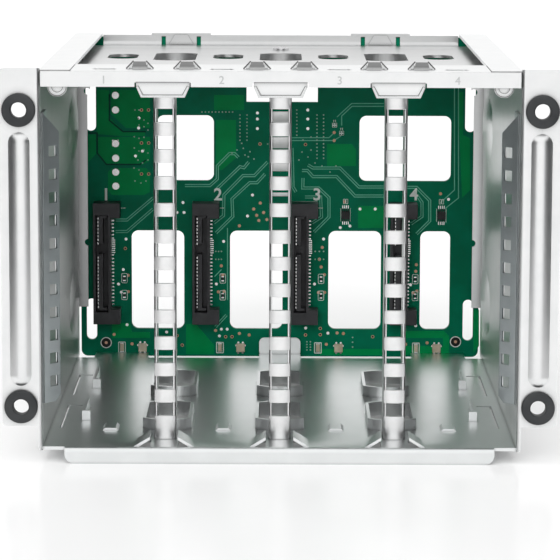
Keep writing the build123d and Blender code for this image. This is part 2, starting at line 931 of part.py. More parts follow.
def make_contacts(bay_x):
    """Tails of one drive receptacle, soldered beside it at their two pitches."""
    edge = bay_x + connector_offset + connector_width / 2
    heights = [power_contact_low + i * contact_pitch for i in range(power_contacts)]
    heights += [signal_contact_low + i * contact_pitch for i in range(signal_contacts)]
    middle_heights = [
        middle_contact_low + i * middle_contact_pitch for i in range(middle_contacts)
    ]
    with BuildPart() as contacts:
        with BuildSketch(front_view(board_front)) as tails:
            with Locations(*[(edge, height) for height in heights]):
                Rectangle(contact_tail, contact_width, align=(Align.MIN, Align.CENTER))
            with Locations(*[(edge, height) for height in middle_heights]):
                Rectangle(
                    middle_contact_tail,
                    middle_contact_width,
                    align=(Align.MIN, Align.CENTER),
                )
        extrude(amount=contact_thickness)
    return contacts.part


def make_led(x, width, height):
    """Surface-mounted lamp on the front of the board."""
    with BuildPart() as led:
        with BuildSketch(front_view(board_front)) as body:
            with Locations((x, led_centre_height)):
                Rectangle(width, height)
        extrude(amount=led_height)
        chamfer(led.faces().sort_by(Axis.Y)[0].edges(), led_bevel)
    return led.part


def make_chip(x, height):
    """Eight-lead chip with its leads, standing on the front of the board."""
    with BuildPart() as chip:
        with BuildSketch(front_view(board_front - chip_stand)) as body:
            with Locations((x, height)):
                Rectangle(chip_width, chip_length)
        extrude(amount=chip_rise)
        with BuildSketch(front_view(board_front)) as leads:
            for i in range(chip_leads):
                with Locations((x + (i - (chip_leads - 1) / 2) * chip_lead_pitch, height)):
                    Rectangle(chip_lead_width, chip_length + 2 * chip_lead_reach)
        extrude(amount=contact_thickness)
    return chip.part


pieces = {
    "floor_pan": floor_pan.part,
    "side_wall_left": side_wall_left.part,
    "side_wall_right": side_wall_right.part,
    "top_plate": top_plate.part,
    "contact_strip_left": contact_strip_left.part,
    "contact_strip_right": contact_strip_right.part,
    "backplane_board": backplane_board.part,
}
for i, x in enumerate(post_lines):
    pieces[f"divider_post_{i + 1}"] = make_post(x)
for name, height in (("lower", ear_hole_low), ("upper", ear_hole_low + ear_hole_pitch)):
    pieces[f"grommet_{name}_left"] = make_grommet(-1, height)
    pieces[f"grommet_{name}_right"] = make_grommet(1, height)
for i, x in enumerate(bay_centres):
    pieces[f"drive_connector_{i + 1}"] = make_drive_connector(x)
    pieces[f"connector_contacts_{i + 1}"] = make_contacts(x)
    pieces[f"activity_led_{i + 1}"] = make_led(x + small_led_offset, small_led_width, small_led_length)
    pieces[f"status_led_{i + 1}"] = make_led(x + square_led_offset, square_led_side, square_led_side)
for i, (x, height) in enumerate(chip_places):
    pieces[f"driver_chip_{i + 1}"] = make_chip(x, height)

# Small two-ended components beside the drive connectors, as a group
with BuildPart() as chip_components:
    with BuildSketch(front_view(board_front)) as component_bodies:
        for i, x in enumerate(bay_centres):
            edge = x + connector_offset + connector_width / 2
            shift = last_passive_offset if i == bay_count - 1 else passive_offset
            with Locations(*[(edge + shift, height) for height in passive_heights]):
                Rectangle(passive_width, passive_length)
    extrude(amount=passive_rise)
pieces["chip_components"] = chip_components.part

# Cable receptacle on the rear of the board, open upwards
with BuildPart() as sas_shell:
    with BuildSketch(level(sas_low)) as shell_outline:
        with Locations((sas_centre, front + board_back)):
            Rectangle(sas_width, sas_depth, align=(Align.CENTER, Align.MIN))
    extrude(amount=sas_height)
    with BuildSketch(level(sas_low + sas_sheet)) as shell_cavity:
        with Locations((sas_centre, front + board_back + sas_sheet)):
            Rectangle(
                sas_width - 2 * sas_sheet,
                sas_depth - 2 * sas_sheet,
                align=(Align.CENTER, Align.MIN),
            )
    extrude(amount=sas_height, mode=Mode.SUBTRACT)
pieces["sas_receptacle_shell"] = sas_shell.part

with BuildPart() as sas_core:
    with BuildSketch(level(sas_low + sas_sheet)) as core_base:
        with Locations((sas_centre, front + board_back + sas_sheet)):
            Rectangle(
                sas_width - 2 * sas_sheet,
                sas_depth - 2 * sas_sheet,
                align=(Align.CENTER, Align.MIN),
            )
    extrude(amount=sas_base)
    with BuildSketch(level(sas_low + sas_sheet + sas_base)) as core_tongue:
        with Locations((sas_centre, front + board_back + sas_depth / 2)):
            Rectangle(sas_tongue_width, sas_tongue)
    extrude(amount=sas_tongue_height)
pieces["sas_receptacle_core"] = sas_core.part

# Power header on the rear of the board and its pins
with BuildPart() as power_header:
    with BuildSketch(front_view(board_back)) as header_block:
        with Locations((header_centre, (header_low + header_high) / 2)):
            Rectangle(header_width, header_high - header_low)
    extrude(amount=-header_back)
    with BuildSketch(front_view(board_back + header_floor)) as header_cavity:
        with Locations((header_centre, (header_low + header_high) / 2)):
            Rectangle(header_width - 2 * header_wall, header_high - header_low - 2 * header_wall)
    extrude(amount=-header_back, mode=Mode.SUBTRACT)
    with BuildSketch(front_view(board_back)) as pin_holes:
        with Locations(*[(header_centre, height) for height in header_pins]):
            Rectangle(header_pin, header_pin)
    extrude(amount=-header_back, mode=Mode.SUBTRACT)
pieces["power_header"] = power_header.part

with BuildPart() as header_pins_group:
    with BuildSketch(front_view(board_front - header_pin_stub)) as pins:
        with Locations(*[(header_centre, height) for height in header_pins]):
            Rectangle(header_pin, header_pin)
    extrude(amount=-(header_pin_stub + board_thickness + header_pin_reach))
    with BuildSketch(front_view(board_front)) as joints:
        with Locations(*[(header_centre, height) for height in header_pins]):
            Circle(header_joint_radius)
    extrude(amount=header_pin_stub, taper=header_joint_taper)
pieces["power_header_pins"] = header_pins_group.part

# Screw in the top plate
with BuildPart() as plate_screw:
    with BuildSketch(level(plate_top)) as head:
        with Locations((0, front + screw_depth)):
            Circle(screw_head / 2)
    extrude(amount=screw_head_height)
    chamfer(plate_screw.edges().group_by(Axis.Z)[-1], screw_bevel)
    with BuildSketch(level(plate_top + screw_head_height)) as drive_slot:
        with Locations((0, front + screw_depth)):
            Rectangle(screw_head, screw_slot)
            Rectangle(screw_slot, screw_head)
    extrude(amount=-screw_slot_depth, mode=Mode.SUBTRACT)
    with BuildSketch(level(plate_top)) as shank:
        with Locations((0, front + screw_depth)):
            Circle(screw_shank / 2)
    extrude(amount=-screw_length)
pieces["plate_screw"] = plate_screw.part

for name, piece in pieces.items():
    piece.label = name
    export_step(piece, f"parts/{name}.step")
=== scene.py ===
"""Looks of the four-bay drive cage: materials, board artwork, table, lights and camera."""

import math

import bmesh
import bpy
from mathutils import Matrix, Vector


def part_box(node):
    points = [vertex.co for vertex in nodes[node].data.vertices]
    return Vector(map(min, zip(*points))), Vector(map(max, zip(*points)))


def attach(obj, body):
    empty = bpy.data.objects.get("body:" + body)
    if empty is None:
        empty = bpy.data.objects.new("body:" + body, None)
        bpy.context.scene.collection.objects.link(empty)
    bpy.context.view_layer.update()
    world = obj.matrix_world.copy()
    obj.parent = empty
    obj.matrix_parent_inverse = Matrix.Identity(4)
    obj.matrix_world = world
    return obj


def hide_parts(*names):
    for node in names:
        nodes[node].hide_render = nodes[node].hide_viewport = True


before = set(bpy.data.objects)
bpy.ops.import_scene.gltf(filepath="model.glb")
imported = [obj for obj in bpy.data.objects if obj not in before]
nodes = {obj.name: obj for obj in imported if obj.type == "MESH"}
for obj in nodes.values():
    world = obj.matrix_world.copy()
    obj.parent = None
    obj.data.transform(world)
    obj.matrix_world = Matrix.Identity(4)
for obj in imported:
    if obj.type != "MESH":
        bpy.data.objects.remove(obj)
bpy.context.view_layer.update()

MM = 0.001

# Camera, fitted to the photograph
PHOTO_SIDE = 560
LENS = 190.93
SENSOR = 36.0
CAMERA_DISTANCE = 884 * MM
CAMERA_HEIGHT = 189.4 * MM
CAMERA_PITCH = math.radians(8.54)
CAMERA_ROLL = math.radians(0.2)
FOCAL = LENS / SENSOR * PHOTO_SIDE

lip_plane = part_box("floor_pan")[0][1]
board_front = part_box("backplane_board")[0][1]
board_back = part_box("backplane_board")[1][1]

camera = bpy.data.objects.new("camera", bpy.data.cameras.new("camera"))
camera.data.lens = LENS
camera.data.sensor_width = SENSOR
camera.matrix_world = (
    Matrix.Translation((0, lip_plane - CAMERA_DISTANCE, CAMERA_HEIGHT))
    @ Matrix.Rotation(math.pi / 2 - CAMERA_PITCH, 4, "X")
    @ Matrix.Rotation(CAMERA_ROLL, 4, "Z")
)
bpy.context.scene.collection.objects.link(camera)
bpy.context.scene.camera = camera
bpy.context.scene.view_settings.view_transform = "Standard"


def on_board(u, v, depth=None):
    """X and Z of the point behind a pixel of the photograph, on the board's front or an upright plane."""
    ray = Vector(((u - PHOTO_SIDE / 2) / FOCAL, (PHOTO_SIDE / 2 - v) / FOCAL, -1))
    ray = camera.matrix_world.to_3x3() @ ray
    start = camera.matrix_world.translation
    plane = board_front if depth is None else depth
    hit = start + ray * ((plane - start.y) / ray.y)
    return hit.x, hit.z


# Materials


def new_material(name, colour, roughness, metallic=0.0):
    """Principled material and its shader, with the plain values set on the shader itself."""
    material = bpy.data.materials.new(name)
    material.use_nodes = True
    shader = material.node_tree.nodes["Principled BSDF"]
    shader.inputs["Base Color"].default_value = (*colour, 1)
    shader.inputs["Roughness"].default_value = roughness
    shader.inputs["Metallic"].default_value = metallic
    return material, shader


def noise(tree, stretch, scale, detail):
    """Value of a noise that follows the object's own coordinates, in metres."""
    place = tree.nodes.new("ShaderNodeTexCoord")
    mapping = tree.nodes.new("ShaderNodeMapping")
    mapping.inputs["Scale"].default_value = stretch
    texture = tree.nodes.new("ShaderNodeTexNoise")
    texture.inputs["Scale"].default_value = scale
    texture.inputs["Detail"].default_value = detail
    tree.links.new(place.outputs["Object"], mapping.inputs["Vector"])
    tree.links.new(mapping.outputs["Vector"], texture.inputs["Vector"])
    return texture.outputs["Fac"]


def map_range(tree, value, to_min, to_max, from_min=0.0, from_max=1.0):
    """A value mapped from one range into another."""
    node = tree.nodes.new("ShaderNodeMapRange")
    node.inputs["From Min"].default_value = from_min
    node.inputs["From Max"].default_value = from_max
    node.inputs["To Min"].default_value = to_min
    node.inputs["To Max"].default_value = to_max
    tree.links.new(value, node.inputs["Value"])
    return node.outputs["Result"]


def larger_of(tree, first, second):
    """The larger of two values."""
    node = tree.nodes.new("ShaderNodeMath")
    node.operation = "MAXIMUM"
    tree.links.new(first, node.inputs[0])
    tree.links.new(second, node.inputs[1])
    return node.outputs[0]


def tint(tree, value, dark, light, target):
    """Colour that runs between two colours with a value."""
    ramp = tree.nodes.new("ShaderNodeValToRGB")
    for element, position, colour in zip(ramp.color_ramp.elements, TINT_SPAN, (dark, light)):
        element.position = position
        element.color = (*colour, 1)
    tree.links.new(value, ramp.inputs["Fac"])
    tree.links.new(ramp.outputs["Color"], target)


def roughen(tree, value, strength, target):
    """Fine relief from a value."""
    bump = tree.nodes.new("ShaderNodeBump")
    bump.inputs["Strength"].default_value = strength
    bump.inputs["Distance"].default_value = RELIEF_DEPTH
    tree.links.new(value, bump.inputs["Height"])
    tree.links.new(bump.outputs["Normal"], target)


TINT_SPAN = (0.35, 0.65)
RELIEF_DEPTH = 0.05 * MM
BROAD_TO_FINE = 6
BRUSHED = (1, 0.35, 1)


def grain_material(name, dark, light, rough_low, rough_high, metallic, scale, relief, stretch=(1, 1, 1)):
    """Material whose colour, gloss and relief all vary with fine noise."""
    material, shader = new_material(name, light, rough_high, metallic)
    tree = material.node_tree
    broad = noise(tree, stretch, scale / BROAD_TO_FINE, 3.0)
    fine = noise(tree, stretch, scale, 4.0)
    tint(tree, broad, dark, light, shader.inputs["Base Color"])
    tree.links.new(map_range(tree, fine, rough_low, rough_high), shader.inputs["Roughness"])
    roughen(tree, fine, relief, shader.inputs["Normal"])
    return material


zinc = grain_material("zinc_sheet", (0.775, 0.785, 0.785), (0.80, 0.81, 0.81),
                      0.20, 0.26, 1.0, 700, 0.02, BRUSHED)
zinc_floor = grain_material("zinc_floor", (0.88, 0.90, 0.90), (0.92, 0.94, 0.94),
                            0.27, 0.33, 1.0, 700, 0.02, BRUSHED)
# The two side walls share one colour; left and right differ only by the painted shade that shade_past puts on
# them.
zinc_wall_left = grain_material("zinc_wall_left", (0.92, 0.93, 0.93), (0.96, 0.965, 0.965),
                                0.28, 0.36, 1.0, 900, 0.02)
zinc_wall_right = grain_material("zinc_wall_right", (0.92, 0.93, 0.93), (0.96, 0.965, 0.965),
                                 0.28, 0.36, 1.0, 900, 0.02)
zinc_plate = grain_material("zinc_plate", (0.91, 0.92, 0.92), (0.95, 0.955, 0.955),
                            0.26, 0.34, 1.0, 900, 0.02)
zinc_bright = grain_material("zinc_rungs", (0.92, 0.925, 0.925), (0.97, 0.97, 0.97),
                             0.28, 0.38, 1.0, 2600, 0.05)
zinc_strip = grain_material("zinc_strips", (0.54, 0.59, 0.60), (0.61, 0.66, 0.67),
                            0.28, 0.36, 1.0, 900, 0.03)
mask = grain_material("solder_mask", (0.0, 0.165, 0.084), (0.0, 0.200, 0.104), 0.28, 0.36, 0.0, 700, 0.03)
mask_pour = grain_material("solder_mask_over_copper", (0.0, 0.285, 0.080), (0.0, 0.320, 0.092),
                           0.28, 0.36, 0.0, 700, 0.03)
mask_trace = grain_material("solder_mask_over_trace", (0.150, 0.520, 0.360), (0.180, 0.600, 0.420),
                            0.28, 0.36, 0.0, 900, 0.03)
mask_groove = grain_material("solder_mask_over_groove", (0.0, 0.055, 0.040), (0.0, 0.070, 0.048),
                             0.28, 0.36, 0.0, 700, 0.03)
via_mask = grain_material("solder_mask_over_via", (0.30, 0.50, 0.40), (0.45, 0.65, 0.55),
                          0.28, 0.36, 0.0, 900, 0.03)
MASK_SPECULAR = 0.08
for green in (mask, mask_pour, mask_trace, via_mask, mask_groove):
    green.node_tree.nodes["Principled BSDF"].inputs["Specular IOR Level"].default_value = MASK_SPECULAR
silkscreen = grain_material("silkscreen", (0.80, 0.88, 0.83), (0.90, 0.95, 0.91), 0.5, 0.7, 0.0, 1500, 0.2)
copper = grain_material("copper_finish", (0.60, 0.33, 0.20), (0.78, 0.47, 0.32), 0.35, 0.5, 0.4, 900, 0.1)
solder = grain_material("solder_joint", (0.72, 0.73, 0.72), (0.88, 0.88, 0.87), 0.18, 0.30, 0.9, 1500, 0.2)
# Near-black colour of painted shade for the inside of the drilled holes; the fiducials' bare rings use it too
hole_dark = grain_material("drilled_hole", (0.004, 0.006, 0.005), (0.010, 0.014, 0.012),
                           0.6, 0.8, 0.0, 900, 0.1)
black_plastic = grain_material("connector_plastic", (0.030, 0.030, 0.033), (0.045, 0.045, 0.049),
                               0.38, 0.52, 0.0, 1100, 0.25)
chip_plastic = grain_material("chip_plastic", (0.012, 0.012, 0.012), (0.025, 0.025, 0.026),
                              0.45, 0.6, 0.0, 1300, 0.3)
nylon = grain_material("header_nylon", (0.66, 0.63, 0.54), (0.74, 0.71, 0.62), 0.4, 0.55, 0.0, 700, 0.15)
ceramic = grain_material("led_body", (0.50, 0.42, 0.30), (0.72, 0.64, 0.50), 0.35, 0.5, 0.0, 900, 0.15)
rubber = grain_material("grommet_rubber", (0.020, 0.022, 0.024), (0.034, 0.036, 0.038),
                        0.48, 0.62, 0.0, 1000, 0.3)
tin = grain_material("tinned_shell", (0.70, 0.70, 0.68), (0.80, 0.80, 0.78), 0.22, 0.35, 1.0, 800, 0.1)
screw_metal = grain_material("screw_steel", (0.66, 0.66, 0.67), (0.78, 0.78, 0.78),
                             0.18, 0.3, 1.0, 1000, 0.15)


def scale_colour(material, factor):
    """Multiplies a material's base colour by a value."""
    tree = material.node_tree
    shader = tree.nodes["Principled BSDF"]
    source = shader.inputs["Base Color"].links[0].from_socket
    scale = tree.nodes.new("ShaderNodeVectorMath")
    scale.operation = "SCALE"
    tree.links.new(source, scale.inputs[0])
    tree.links.new(factor, scale.inputs["Scale"])
    tree.links.new(scale.outputs["Vector"], shader.inputs["Base Color"])


SHADE_EDGE = 0.5 * MM
# Colour level of the painted shade on the top plate's rear rim
REAR_RIM_LEVEL = 0.82
CREVICE_SAMPLES = 8
CREVICE_SPAN = (0.35, 0.95)


def shade_past(material, axis, place, depth, factor, keep_above=None, back_past=None):
    """Paints shade into a metal's colour past a place along an axis, but not above a height or past a second
    place.
    """
    tree = material.node_tree
    coordinates = tree.nodes.new("ShaderNodeTexCoord")
    parts = tree.nodes.new("ShaderNodeSeparateXYZ")
    tree.links.new(coordinates.outputs["Object"], parts.inputs["Vector"])
    level = map_range(tree, parts.outputs[axis], 1.0, factor, place, place + depth)
    if keep_above is not None:
        above = map_range(tree, parts.outputs["Z"], 0.0, 1.0, keep_above, keep_above + SHADE_EDGE)
        level = larger_of(tree, level, above)
    if back_past is not None:
        behind = map_range(tree, parts.outputs[axis], 0.0, REAR_RIM_LEVEL, back_past, back_past + SHADE_EDGE)
        level = larger_of(tree, level, behind)
    scale_colour(material, level)


def shade_crevices(material, reach, darkest):
    """Painted shade in corners and along folds, darker where other surfaces are near."""
    tree = material.node_tree
    corners = tree.nodes.new("ShaderNodeAmbientOcclusion")
    corners.samples = CREVICE_SAMPLES
    corners.inputs["Distance"].default_value = reach
    scale_colour(material, map_range(tree, corners.outputs["AO"], darkest, 1.0, *CREVICE_SPAN))


HEADER_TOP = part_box("side_wall_left")[1][2] - 0.6 * MM
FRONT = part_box("side_wall_left")[0][1]
WALL_SHADE_START = FRONT + 2.0 * MM
WALL_SHADE_DEPTH = 6 * MM
FLANGE_FOOT = HEADER_TOP - 1.2 * MM
# Painted shade: the top plate's wings, above the header's top, much darker; the plate darker going back from
# behind the header, and lighter again at its rear rim; the side walls darker past the ears except on their
# top flanges, the left wall more than the right; the floor a little darker past its lip.
shade_past(zinc_plate, "Z", HEADER_TOP + 0.1 * MM, 0.8 * MM, factor=0.30)
shade_past(zinc_plate, "Y", FRONT + 8 * MM, 110 * MM, factor=0.66, back_past=FRONT + 155 * MM)
shade_past(zinc_wall_left, "Y", WALL_SHADE_START, WALL_SHADE_DEPTH, factor=0.60, keep_above=FLANGE_FOOT)
shade_past(zinc_wall_right, "Y", WALL_SHADE_START, WALL_SHADE_DEPTH, factor=0.92, keep_above=FLANGE_FOOT)
shade_past(zinc_floor, "Y", lip_plane + 2.2 * MM, 4 * MM, factor=0.97)
# Painted shade in the corners and folds of the metal parts
for metal in (zinc_wall_left, zinc_wall_right):
    shade_crevices(metal, reach=2.6 * MM, darkest=0.45)
for metal in (zinc, zinc_plate, zinc_strip):
    shade_crevices(metal, reach=1.6 * MM, darkest=0.42)
shade_crevices(zinc_bright, reach=0.8 * MM, darkest=0.66)
shade_crevices(zinc_floor, reach=1.0 * MM, darkest=0.62)

MATERIAL_OF = {
    "floor_pan": zinc_floor,
    "side_wall_left": zinc_wall_left,
    "side_wall_right": zinc_wall_right,
    "top_plate": zinc_plate,
    "contact_strip": zinc_strip,
    "divider_post": zinc_bright,
    "backplane_board": mask,
    "drive_connector": black_plastic,
    "connector_contacts": solder,
    "activity_led": ceramic,
    "status_led": ceramic,
    "driver_chip": chip_plastic,
    "chip_components": chip_plastic,
    "power_header_pins": solder,
    "power_header": nylon,
    "sas_receptacle_shell": tin,
    "sas_receptacle_core": black_plastic,
    "grommet": rubber,
    "plate_screw": screw_metal,
}


def material_for(name):
    """Material of a node, by the longest start of its name that is listed."""
    starts = [start for start in MATERIAL_OF if name.startswith(start)]
    return MATERIAL_OF[max(starts, key=len)]


WELD_REACH = 0.001 * MM
SHARP_ANGLE = math.radians(40)


def soften(piece, width, segments=2):
    """Rounds the sharp edges of a CAD mesh without touching the mesh itself."""
    weld = piece.modifiers.new("weld", "WELD")
    weld.merge_threshold = WELD_REACH
    bevel = piece.modifiers.new("edge_break", "BEVEL")
    bevel.width = width
    bevel.segments = segments
    bevel.limit_method = "ANGLE"
    bevel.angle_limit = SHARP_ANGLE
    bevel.use_clamp_overlap = True
    piece.modifiers.new("even_shading", "WEIGHTED_NORMAL")


# Widths of the rounded edges, in mm
EDGE_BREAK = {
    "floor_pan": 0.15,
    "side_wall": 0.15,
    "top_plate": 0.15,
    "contact_strip": 0.12,
    "divider_post": 0.15,
    "drive_connector": 0.12,
    "grommet": 0.45,
    "power_header": 0.3,
    "driver_chip": 0.08,
}

for name, piece in nodes.items():
    for material_slot in piece.material_slots:
        material_slot.material = material_for(name)
    for start, width in EDGE_BREAK.items():
        if name.startswith(start) and "pins" not in name:
            soften(piece, width * MM)


def add_piece(name, data, place=Matrix()):
    """Puts a finished mesh or curve into the scene as a piece of the cage."""
    piece = bpy.data.objects.new(name, data)
    piece.matrix_world = place
    bpy.context.scene.collection.objects.link(piece)
    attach(piece, "root")
    return piece


def mesh_piece(name, shape, material):
    """Piece of the cage from a mesh under construction."""
    mesh = bpy.data.meshes.new(name)
    shape.to_mesh(mesh)
    shape.free()
    mesh.materials.append(material)
    return add_piece(name, mesh)


# Board artwork: thin raised shapes on the board's front face

board_group = {}
ART_FOOT = 0.01 * MM


def layer_mesh(group, layer):
    """The mesh under construction for one layer of a group."""
    if layer not in group:
        group[layer] = bmesh.new()
    return group[layer]


def plate(layer, outline, rise):
    """Flat raised shape with the given outline of X, Z points, seen from the front."""
    mesh = layer_mesh(board_group, layer)
    top = [mesh.verts.new((x, board_front - rise, z)) for x, z in outline]
    foot = [mesh.verts.new((x, board_front + ART_FOOT, z)) for x, z in outline]
    mesh.faces.new(top)
    for i in range(len(outline)):
        j = (i + 1) % len(outline)
        mesh.faces.new((top[i], foot[i], foot[j], top[j]))


def rectangle(centre, half_width, half_height):
    """Corners of a rectangle about a point."""
    x, z = centre
    return [(x - half_width, z - half_height), (x + half_width, z - half_height),
            (x + half_width, z + half_height), (x - half_width, z + half_height)]


def circle(centre, radius, sides):
    """Points round a point."""
    turn = 2 * math.pi / sides
    return [(centre[0] + radius * math.cos(i * turn), centre[1] + radius * math.sin(i * turn))
            for i in range(sides)]


def beside(points, shift):
    """The points moved sideways by a distance, with mitred corners."""
    moved = []
    for i, (x, z) in enumerate(points):
        ways = []
        if i:
            ways.append(Vector((x - points[i - 1][0], z - points[i - 1][1])).normalized())
        if i < len(points) - 1:
            ways.append(Vector((points[i + 1][0] - x, points[i + 1][1] - z)).normalized())
        way = sum(ways, Vector((0, 0))).normalized()
        reach = shift / max(0.5, way.dot(ways[0]))
        moved.append((x - way.y * reach, z + way.x * reach))
    return moved


def disc(layer, centre, radius, rise, sides=20):
    """Round pad about a point of the board."""
    plate(layer, circle(centre, radius, sides), rise)


def stroke(layer, points, width, rise, closed=False):
    """Line of even width through the points, with mitred corners."""
    count = len(points)
    left, right = [], []
    for i, (x, z) in enumerate(points):
        before = points[i - 1] if i or closed else None
        after = points[(i + 1) % count] if i < count - 1 or closed else None
        ways = []
        if before is not None:
            ways.append(Vector((x - before[0], z - before[1])).normalized())
        if after is not None:
            ways.append(Vector((after[0] - x, after[1] - z)).normalized())
        way = sum(ways, Vector((0, 0))).normalized()
        normal = Vector((-way.y, way.x))
        reach = width / 2 / max(0.4, abs(normal.dot(Vector((-ways[0].y, ways[0].x)))))
        left.append((x + normal.x * reach, z + normal.y * reach))
        right.append((x - normal.x * reach, z - normal.y * reach))
    spans = count if closed else count - 1
    for i in range(spans):
        j = (i + 1) % count
        plate(layer, [left[i], left[j], right[j], right[i]], rise)


def ring(layer, centre, radius, width, rise, sides=28):
    """Round outline about a point of the board."""
    stroke(layer, circle(centre, radius, sides), width, rise, closed=True)


CORNER_STEPS = 3


def rounded_frame(layer, centre, half_width, half_height, corner, width, rise):
    """Outline of a rectangle with rounded corners."""
    points = []
    for quarter, (sx, sz) in enumerate(((1, 1), (-1, 1), (-1, -1), (1, -1))):
        for step in range(CORNER_STEPS + 1):
            angle = math.pi / 2 * (quarter + step / CORNER_STEPS)
            points.append((centre[0] + sx * (half_width - corner) + corner * math.cos(angle),
                           centre[1] + sz * (half_height - corner) + corner * math.sin(angle)))
    stroke(layer, points, width, rise, closed=True)


POUR_RISE = 0.02 * MM
TRACE_RISE = 0.035 * MM
PAD_RISE = 0.05 * MM
INK_RISE = 0.06 * MM
TRACE_WIDTH = 0.34 * MM
PAIR_GAP = 0.75 * MM

# Copper areas under the mask, as pixels of the photograph
POURS = {
    "header_upper": [(97, 90), (109, 90), (109, 117), (124, 132), (145, 132), (145, 136), (121, 136),
                     (97, 134)],
    "header_middle": [(111, 90), (150, 90), (150, 128), (126, 128), (111, 114)],
    "header_lower": [(97, 153), (97, 137), (124, 137), (150, 137), (150, 161), (142, 165), (108, 165)],
    "header_foot": [(112, 168), (146, 168), (150, 172), (150, 192), (144, 195), (112, 195), (108, 190),
                    (108, 172)],
    "connector_1": [(112, 323), (130, 323), (132, 332), (150, 332), (150, 338), (112, 338)],
    "connector_2": [(186, 324), (196, 324), (214, 345), (214, 354), (186, 354)],
    "connector_3": [(320, 349), (382, 349), (382, 355), (320, 355)],
    "connector_4": [(405, 331), (444, 331), (449, 336), (449, 355), (405, 355), (405, 346), (443, 346),
                    (443, 338), (405, 338)],
    "right_edge": [(473.5, 310), (479, 310), (479, 346), (473.5, 353)],
    "right_top": [(458, 92), (463, 92), (463, 135), (470, 138), (470, 190), (462, 198)],
    "centre_bright": [(358, 206), (384, 206), (384, 228), (358, 228)],
    "centre_top": [(214, 95), (244, 95), (244, 110), (214, 110)],
    "middle_left": [(216, 120), (236, 120), (236, 158), (222, 170), (216, 170)],
    "middle_right": [(327, 144), (352, 144), (356, 150), (356, 166), (327, 166)],
    "left_lower": [(88.5, 134.5), (95.8, 134.5), (95.8, 154), (88.5, 162)],
}
for pour in POURS.values():
    plate("pours", [on_board(*pixel) for pixel in pour], POUR_RISE)

# Dark channels between the copper areas round the power header's joints
GROOVE_WIDTH = 0.55 * MM
GROOVES = {
    "upper": [(109.4, 94), (109.4, 120.4), (123, 131.6), (146, 131.6)],
    "lower": [(88.5, 133), (97.2, 133), (97.2, 153), (106.4, 164.4), (140, 164.4), (146, 160)],
}
for groove in GROOVES.values():
    stroke("grooves", [on_board(*pixel) for pixel in groove], GROOVE_WIDTH, TRACE_RISE)

# Trace pairs, as pixels of the photograph along their middles
TRACE_PAIRS = {
    "left_shallow": [(185, 185.5), (210, 185.5), (217.3, 179), (217.3, 166), (229.5, 153.6),
                     (234.7, 153.6), (238.4, 157.4)],
    "left_rise": [(216, 189.7), (240, 166.7), (244, 167.7), (248.7, 162)],
    "left_long": [(214, 223), (223.5, 215.5), (223.9, 195), (243, 175.6), (254.4, 175.6), (267.5, 162)],
    "left_outer": [(216, 233), (232.8, 216.4), (232, 199), (249.7, 182.7), (257, 182.7), (265, 174)],
    "right_upper": [(308, 165), (313, 168), (340, 168), (359, 187), (384, 187)],
    "right_middle": [(302, 170.5), (307.5, 170.5), (313, 176.6), (336.6, 176.6), (355, 196), (384, 196)],
    "right_drop": [(292, 148), (293, 187), (296, 192)],
    "right_long": [(303, 178), (302.8, 188), (318.7, 188), (329, 197.7), (329, 217), (314, 232)],
    "right_inner": [(305, 197), (320.6, 197), (321.5, 217), (312, 223)],
    "connector_4_outer": [(406, 187.4), (416.6, 187.4), (429.7, 200.6), (429.7, 221), (416.6, 234)],
    "connector_4_inner": [(417.5, 196), (422, 202.4), (422, 216.5), (411, 224)],
    "under_connector_2": [(226.5, 315), (215.5, 327)],
    "left_edge_upper": [(115.6, 220), (127, 220), (153, 198)],
    "left_edge_lower": [(115.6, 231.5), (127, 231.5), (153, 209)],
}
for pair in TRACE_PAIRS.values():
    middle = [on_board(*pixel) for pixel in pair]
    for side in (-1, 1):
        stroke("traces", beside(middle, side * PAIR_GAP / 2), TRACE_WIDTH, TRACE_RISE)

# Single traces
SINGLE_TRACES = {
    "top_upper": [(337, 117), (351.6, 103.5), (384, 103.5)],
    "top_lower": [(341.7, 125.5), (341.7, 116), (352, 106.3), (384, 106.3)],
    "middle_upper": [(291, 137.7), (329, 137.7), (334, 133)],
    "middle_lower": [(291, 140.5), (334, 140.5), (341, 136)],
    "right_band": [(458.5, 88), (458.5, 198), (445.8, 208), (446, 223)],
    "right_band_inner": [(454.5, 88), (454.5, 190), (440, 203)],
    "test_point": [(221.4, 269.5), (214.5, 276.7)],
    "window_edge": [(227.5, 228), (227.5, 300)],
}
for single in SINGLE_TRACES.values():
    stroke("traces", [on_board(*pixel) for pixel in single], TRACE_WIDTH, TRACE_RISE)

